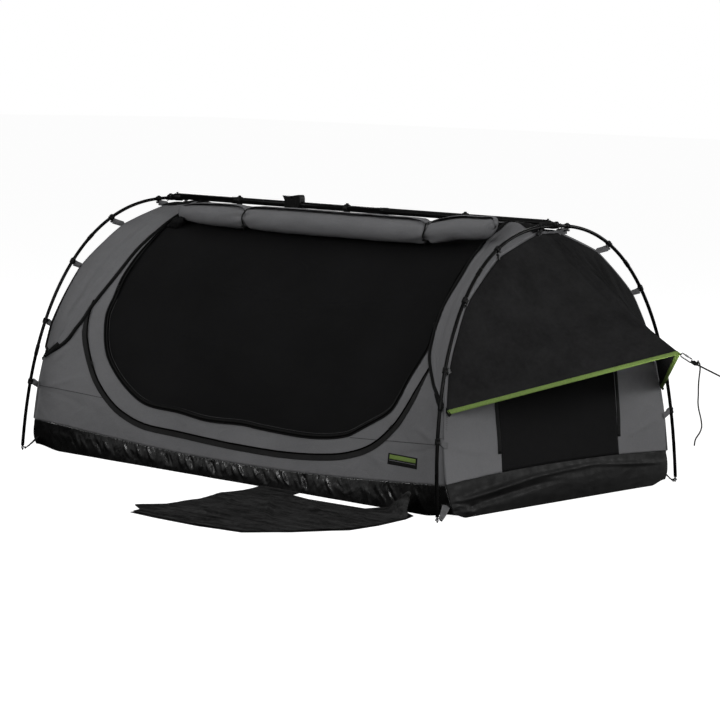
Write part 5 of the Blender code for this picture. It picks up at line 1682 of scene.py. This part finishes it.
MAT_CREASES = [((0.28, -0.70), (0.80, -1.30), 0.012, 0.0080), ((0.25, -0.80), (0.50, -1.36), 0.011, 0.0070),
               ((0.40, -0.72), (0.95, -1.05), 0.010, 0.0065), ((0.60, -0.74), (0.93, -0.90), 0.010, 0.0060),
               ((0.17, -1.27), (0.62, -1.18), 0.012, 0.0065), ((0.30, -1.38), (0.86, -1.22), 0.012, 0.0055),
               ((0.34, -0.78), (0.66, -0.84), 0.012, 0.0060)]


def build_patch():
    """A plain sewn patch: a black ground with a green band and a pale line."""
    def patch(low_u, low_v, high_u, high_v, lift):
        def place(u, v):
            x = 0.757 + 0.148 * (low_u + (high_u - low_u) * u)
            z = 0.158 + 0.039 * (low_v + (high_v - low_v) * v)
            return wall_point(x, z, -1, lift + wall_lift(x, z, -1))
        return place
    ground = patch(0, 0, 1, 1, 0.0014)
    cloth("bare_patch", "tape", 24, 8, ground, 0.0010, -1.0)
    cloth("bare_patch_band", "green", 24, 4, patch(0.05, 0.50, 0.95, 0.88, 0.0022), 0.0008, -1.0)
    cloth("bare_patch_line", "webbing", 24, 2, patch(0.05, 0.34, 0.95, 0.40, 0.0022), 0.0006, -1.0)
    form = Form()
    corners = [(0.03, 0.08), (0.97, 0.08), (0.97, 0.94), (0.03, 0.94), (0.03, 0.08)]
    line = []
    for (au, av), (bu, bv) in zip(corners, corners[1:]):
        for i in range(12):
            line.append(ground(au + (bu - au) * i / 12, av + (bv - av) * i / 12) + Vector((0, -0.0003, 0)))
    stitches(form, line, (0, -1, 0), 0.005, 0.0004)
    form.piece("bare_patch_stitches", "cord")


def build_hub_shadow_sheets_and_straps():
    """A near-black sheet over each hood's top beside its hub, put where shade falls there as painted shadow,
    and the strap at each lower awning corner.
    """
    for side, word in SIDES:
        def place(u, v, side=side):
            x = 0.842 + 0.113 * u
            share = side * share_at(x, MID_TOP_Z)
            y = (0.046 + 0.038 * u) * (2 * v - 1)
            angle = (1 if y >= 0 else -1) * tunnel_angle_at_width(share, max(0.0004, abs(y)))
            return tunnel_point(share, angle) + tunnel_normal(share, angle) * 0.0034
        # This sheet stands in for the shade under the ridge by the hub: painted shadow.
        cloth("top_gusset_%s" % word, "tape", 24, 36, place, CLOTH_THICK, -1.0 if side > 0 else 1.0)
        form = Form()
        for facing in (-1, 1):
            path = []
            out = []
            for i in range(9):
                x = 1.024 - 0.050 * i / 8
                z = 0.376 + 0.056 * i / 8
                share = side * share_at(x, z)
                path.append(wall_point(side * x, z, facing, 0.0080))
                out.append(tunnel_normal(share, facing * tunnel_angle_at_height(share, z)))
            ribbon(form, path, out, 0.0065, 0.0018)
        form.piece("corner_straps_" + word, "tape")


def build_stage():
    data = bpy.data.meshes.new("studio_floor")
    reach = 60.0
    data.from_pydata([(-reach, -reach, 0), (reach, -reach, 0), (reach, reach, 0), (-reach, reach, 0)], [],
                     [(0, 1, 2, 3)])
    floor = bpy.data.objects.new("studio_floor", data)
    bpy.context.scene.collection.objects.link(floor)
    data.materials.append(MATS["floor"])
    floor.visible_diffuse = False
    floor.visible_glossy = False


build_tail()
build_sides()
build_roof()
for side, word in SIDES:
    hood_cloth(side, word)
    build_end(side, word)
    build_hoop(side, word)
    for facing, long_side in ((-1, "front"), (1, "back")):
        build_foot(side, facing, word + "_" + long_side)
build_seams()
build_awnings()
build_tub()
build_zips()
build_wall_seams()
build_piping()
build_roll()
build_ridge()
build_guy()
build_mat()
build_patch()
build_hub_shadow_sheets_and_straps()
build_stage()


def area_light(name, place, target, size, power, lights="all", spread=180):
    """A soft box; lights says whether it lights surfaces, shows in their reflections or does both."""
    data = bpy.data.lights.new(name, "AREA")
    data.shape = "RECTANGLE"
    data.size, data.size_y = size
    data.energy = power
    data.spread = radians(spread)
    lamp = bpy.data.objects.new(name, data)
    lamp.location = place
    aim = Vector(target) - Vector(place)
    lamp.rotation_euler = aim.to_track_quat("-Z", "Y").to_euler()
    bpy.context.scene.collection.objects.link(lamp)
    lamp.visible_glossy = lights != "surfaces"
    lamp.visible_diffuse = lights != "reflections"
    lamp.visible_camera = False


def make_studio():
    """White to the camera all round, with the light and the reflections from soft boxes alone."""
    world = bpy.data.worlds.new("studio")
    world.use_nodes = True
    world.node_tree.nodes["Background"].inputs["Color"].default_value = (1, 1, 1, 1)
    world.node_tree.nodes["Background"].inputs["Strength"].default_value = 1.0
    world.cycles_visibility.diffuse = False
    world.cycles_visibility.glossy = False
    bpy.context.scene.world = world
    aim = (0, 0, 0.45)
    area_light("top_box", (0.3, -0.8, 5.0), aim, (5, 4), 86)
    area_light("front_left_box", (-4.2, -5.2, 2.4), aim, (3.0, 2.0), 178, "surfaces")
    area_light("front_left_glint", (-3.6, -4.4, 3.9), aim, (2.0, 0.7), 110, "reflections")
    area_light("front_left_sheen", (-4.4, -5.4, 1.7), aim, (4.4, 2.2), 13, "reflections")
    area_light("floor_bounce", (2.5, -0.1, 0.04), (1.2, 0.0, 0.5), (1.2, 1.2), 6, "surfaces")
    area_light("near_bounce", (1.75, -0.45, 0.03), (1.42, 0.15, 0.52), (0.3, 0.3), 1.6, "surfaces", 50)
    area_light("front_box", (1.5, -6.5, 2.6), aim, (3.0, 2.0), 120)
    area_light("right_box", (6.0, -2.2, 2.6), aim, (3.0, 2.0), 212)
    area_light("back_right_box", (4.8, 5.6, 2.2), aim, (3.0, 2.0), 190)
    area_light("back_left_box", (-4.5, 4.5, 2.6), aim, (3.0, 2.0), 115)
    bpy.context.scene.view_settings.view_transform = "Standard"


# How each sheet is held, what it hangs from or lies on, and the pieces that go with it. A star stands for
# left, then for right.
HELD = {
    "front_wall_canvas": ("stretched", ["tub_front_pvc", "roof_strip_canvas"],
                          ["door_zip_outer_tape", "door_zip_outer_tape_coil", "door_zip_outer_tape_sliders",
                           "door_zip_inner_tape", "door_zip_inner_tape_coil", "door_zip_inner_tape_sliders",
                           "wall_seam_front", "bare_patch_stitches"]),
    "door_mesh_cloth": ("stretched", ["front_wall_canvas"], ["door_mesh_hem"]),
    "back_wall_canvas": ("stretched", ["tub_back_pvc", "roof_strip_canvas"],
                         ["back_door_zip_tape", "back_door_zip_tape_coil", "back_door_zip_tape_sliders",
                          "wall_seam_back"]),
    "back_door_canvas": ("stretched", ["back_wall_canvas"], []),
    "roof_strip_canvas": ("stretched", ["ridge_clip_left_moulding", "ridge_clip_middle_moulding",
                                        "ridge_clip_right_moulding"], []),
    "hood_*_canvas": ("stretched", ["hoop_*_tabs"],
                      ["piping_*_cord", "piping_*_stitches", "corner_straps_*"]),
    "end_panel_*_canvas": ("stretched", ["hoop_*_tabs"],
                           ["window_tape_*_weave", "end_seam_*", "end_stitches_*"]),
    "end_mesh_*_cloth": ("stretched", ["end_panel_*_canvas"], []),
    "awning_right_cloth": ("stretched", ["hood_right_canvas", "guy_link"],
                           ["awning_right_binding", "awning_right_stitches", "awning_right_tabs"]),
    "awning_left_cloth": ("hung", ["hood_left_canvas"],
                          ["awning_left_binding", "awning_left_stitches", "awning_left_tabs",
                           "awning_hem_left"]),
    "door_roll_canvas": ("folded", ["roof_strip_canvas"], ["door_tie_left_strap", "door_tie_right_strap"]),
    "gathered_mesh": ("gathered", ["door_roll_canvas"], []),
    "tub_front_pvc": ("stretched", ["floor_pvc"], []),
    "tub_back_pvc": ("stretched", ["floor_pvc"], []),
    "tub_end_*_pvc": ("stretched", ["floor_pvc"], []),
    "floor_pvc": ("laid", [], []),
    "gear_mat_lower": ("laid", [], []),
    "gear_mat_upper": ("laid", ["gear_mat_lower"], []),
    # The near-black sheet by each hub is painted shadow.
    "top_gusset_*": ("stretched", ["hood_*_canvas"], []),
    "bare_patch": ("stretched", ["front_wall_canvas"], ["bare_patch_band", "bare_patch_line"]),
}


def declare_sheets():
    for pattern, (held, supports, others) in HELD.items():
        for word in ("left", "right") if "*" in pattern else ("",):
            name = pattern.replace("*", word)
            width, length, area = SHEETS[name]
            [other.replace("*", word) for other in supports]
            max(area, 0.3 * width * length)
            [bpy.data.objects[other.replace("*", word)] for other in others]


make_studio()
declare_sheets()
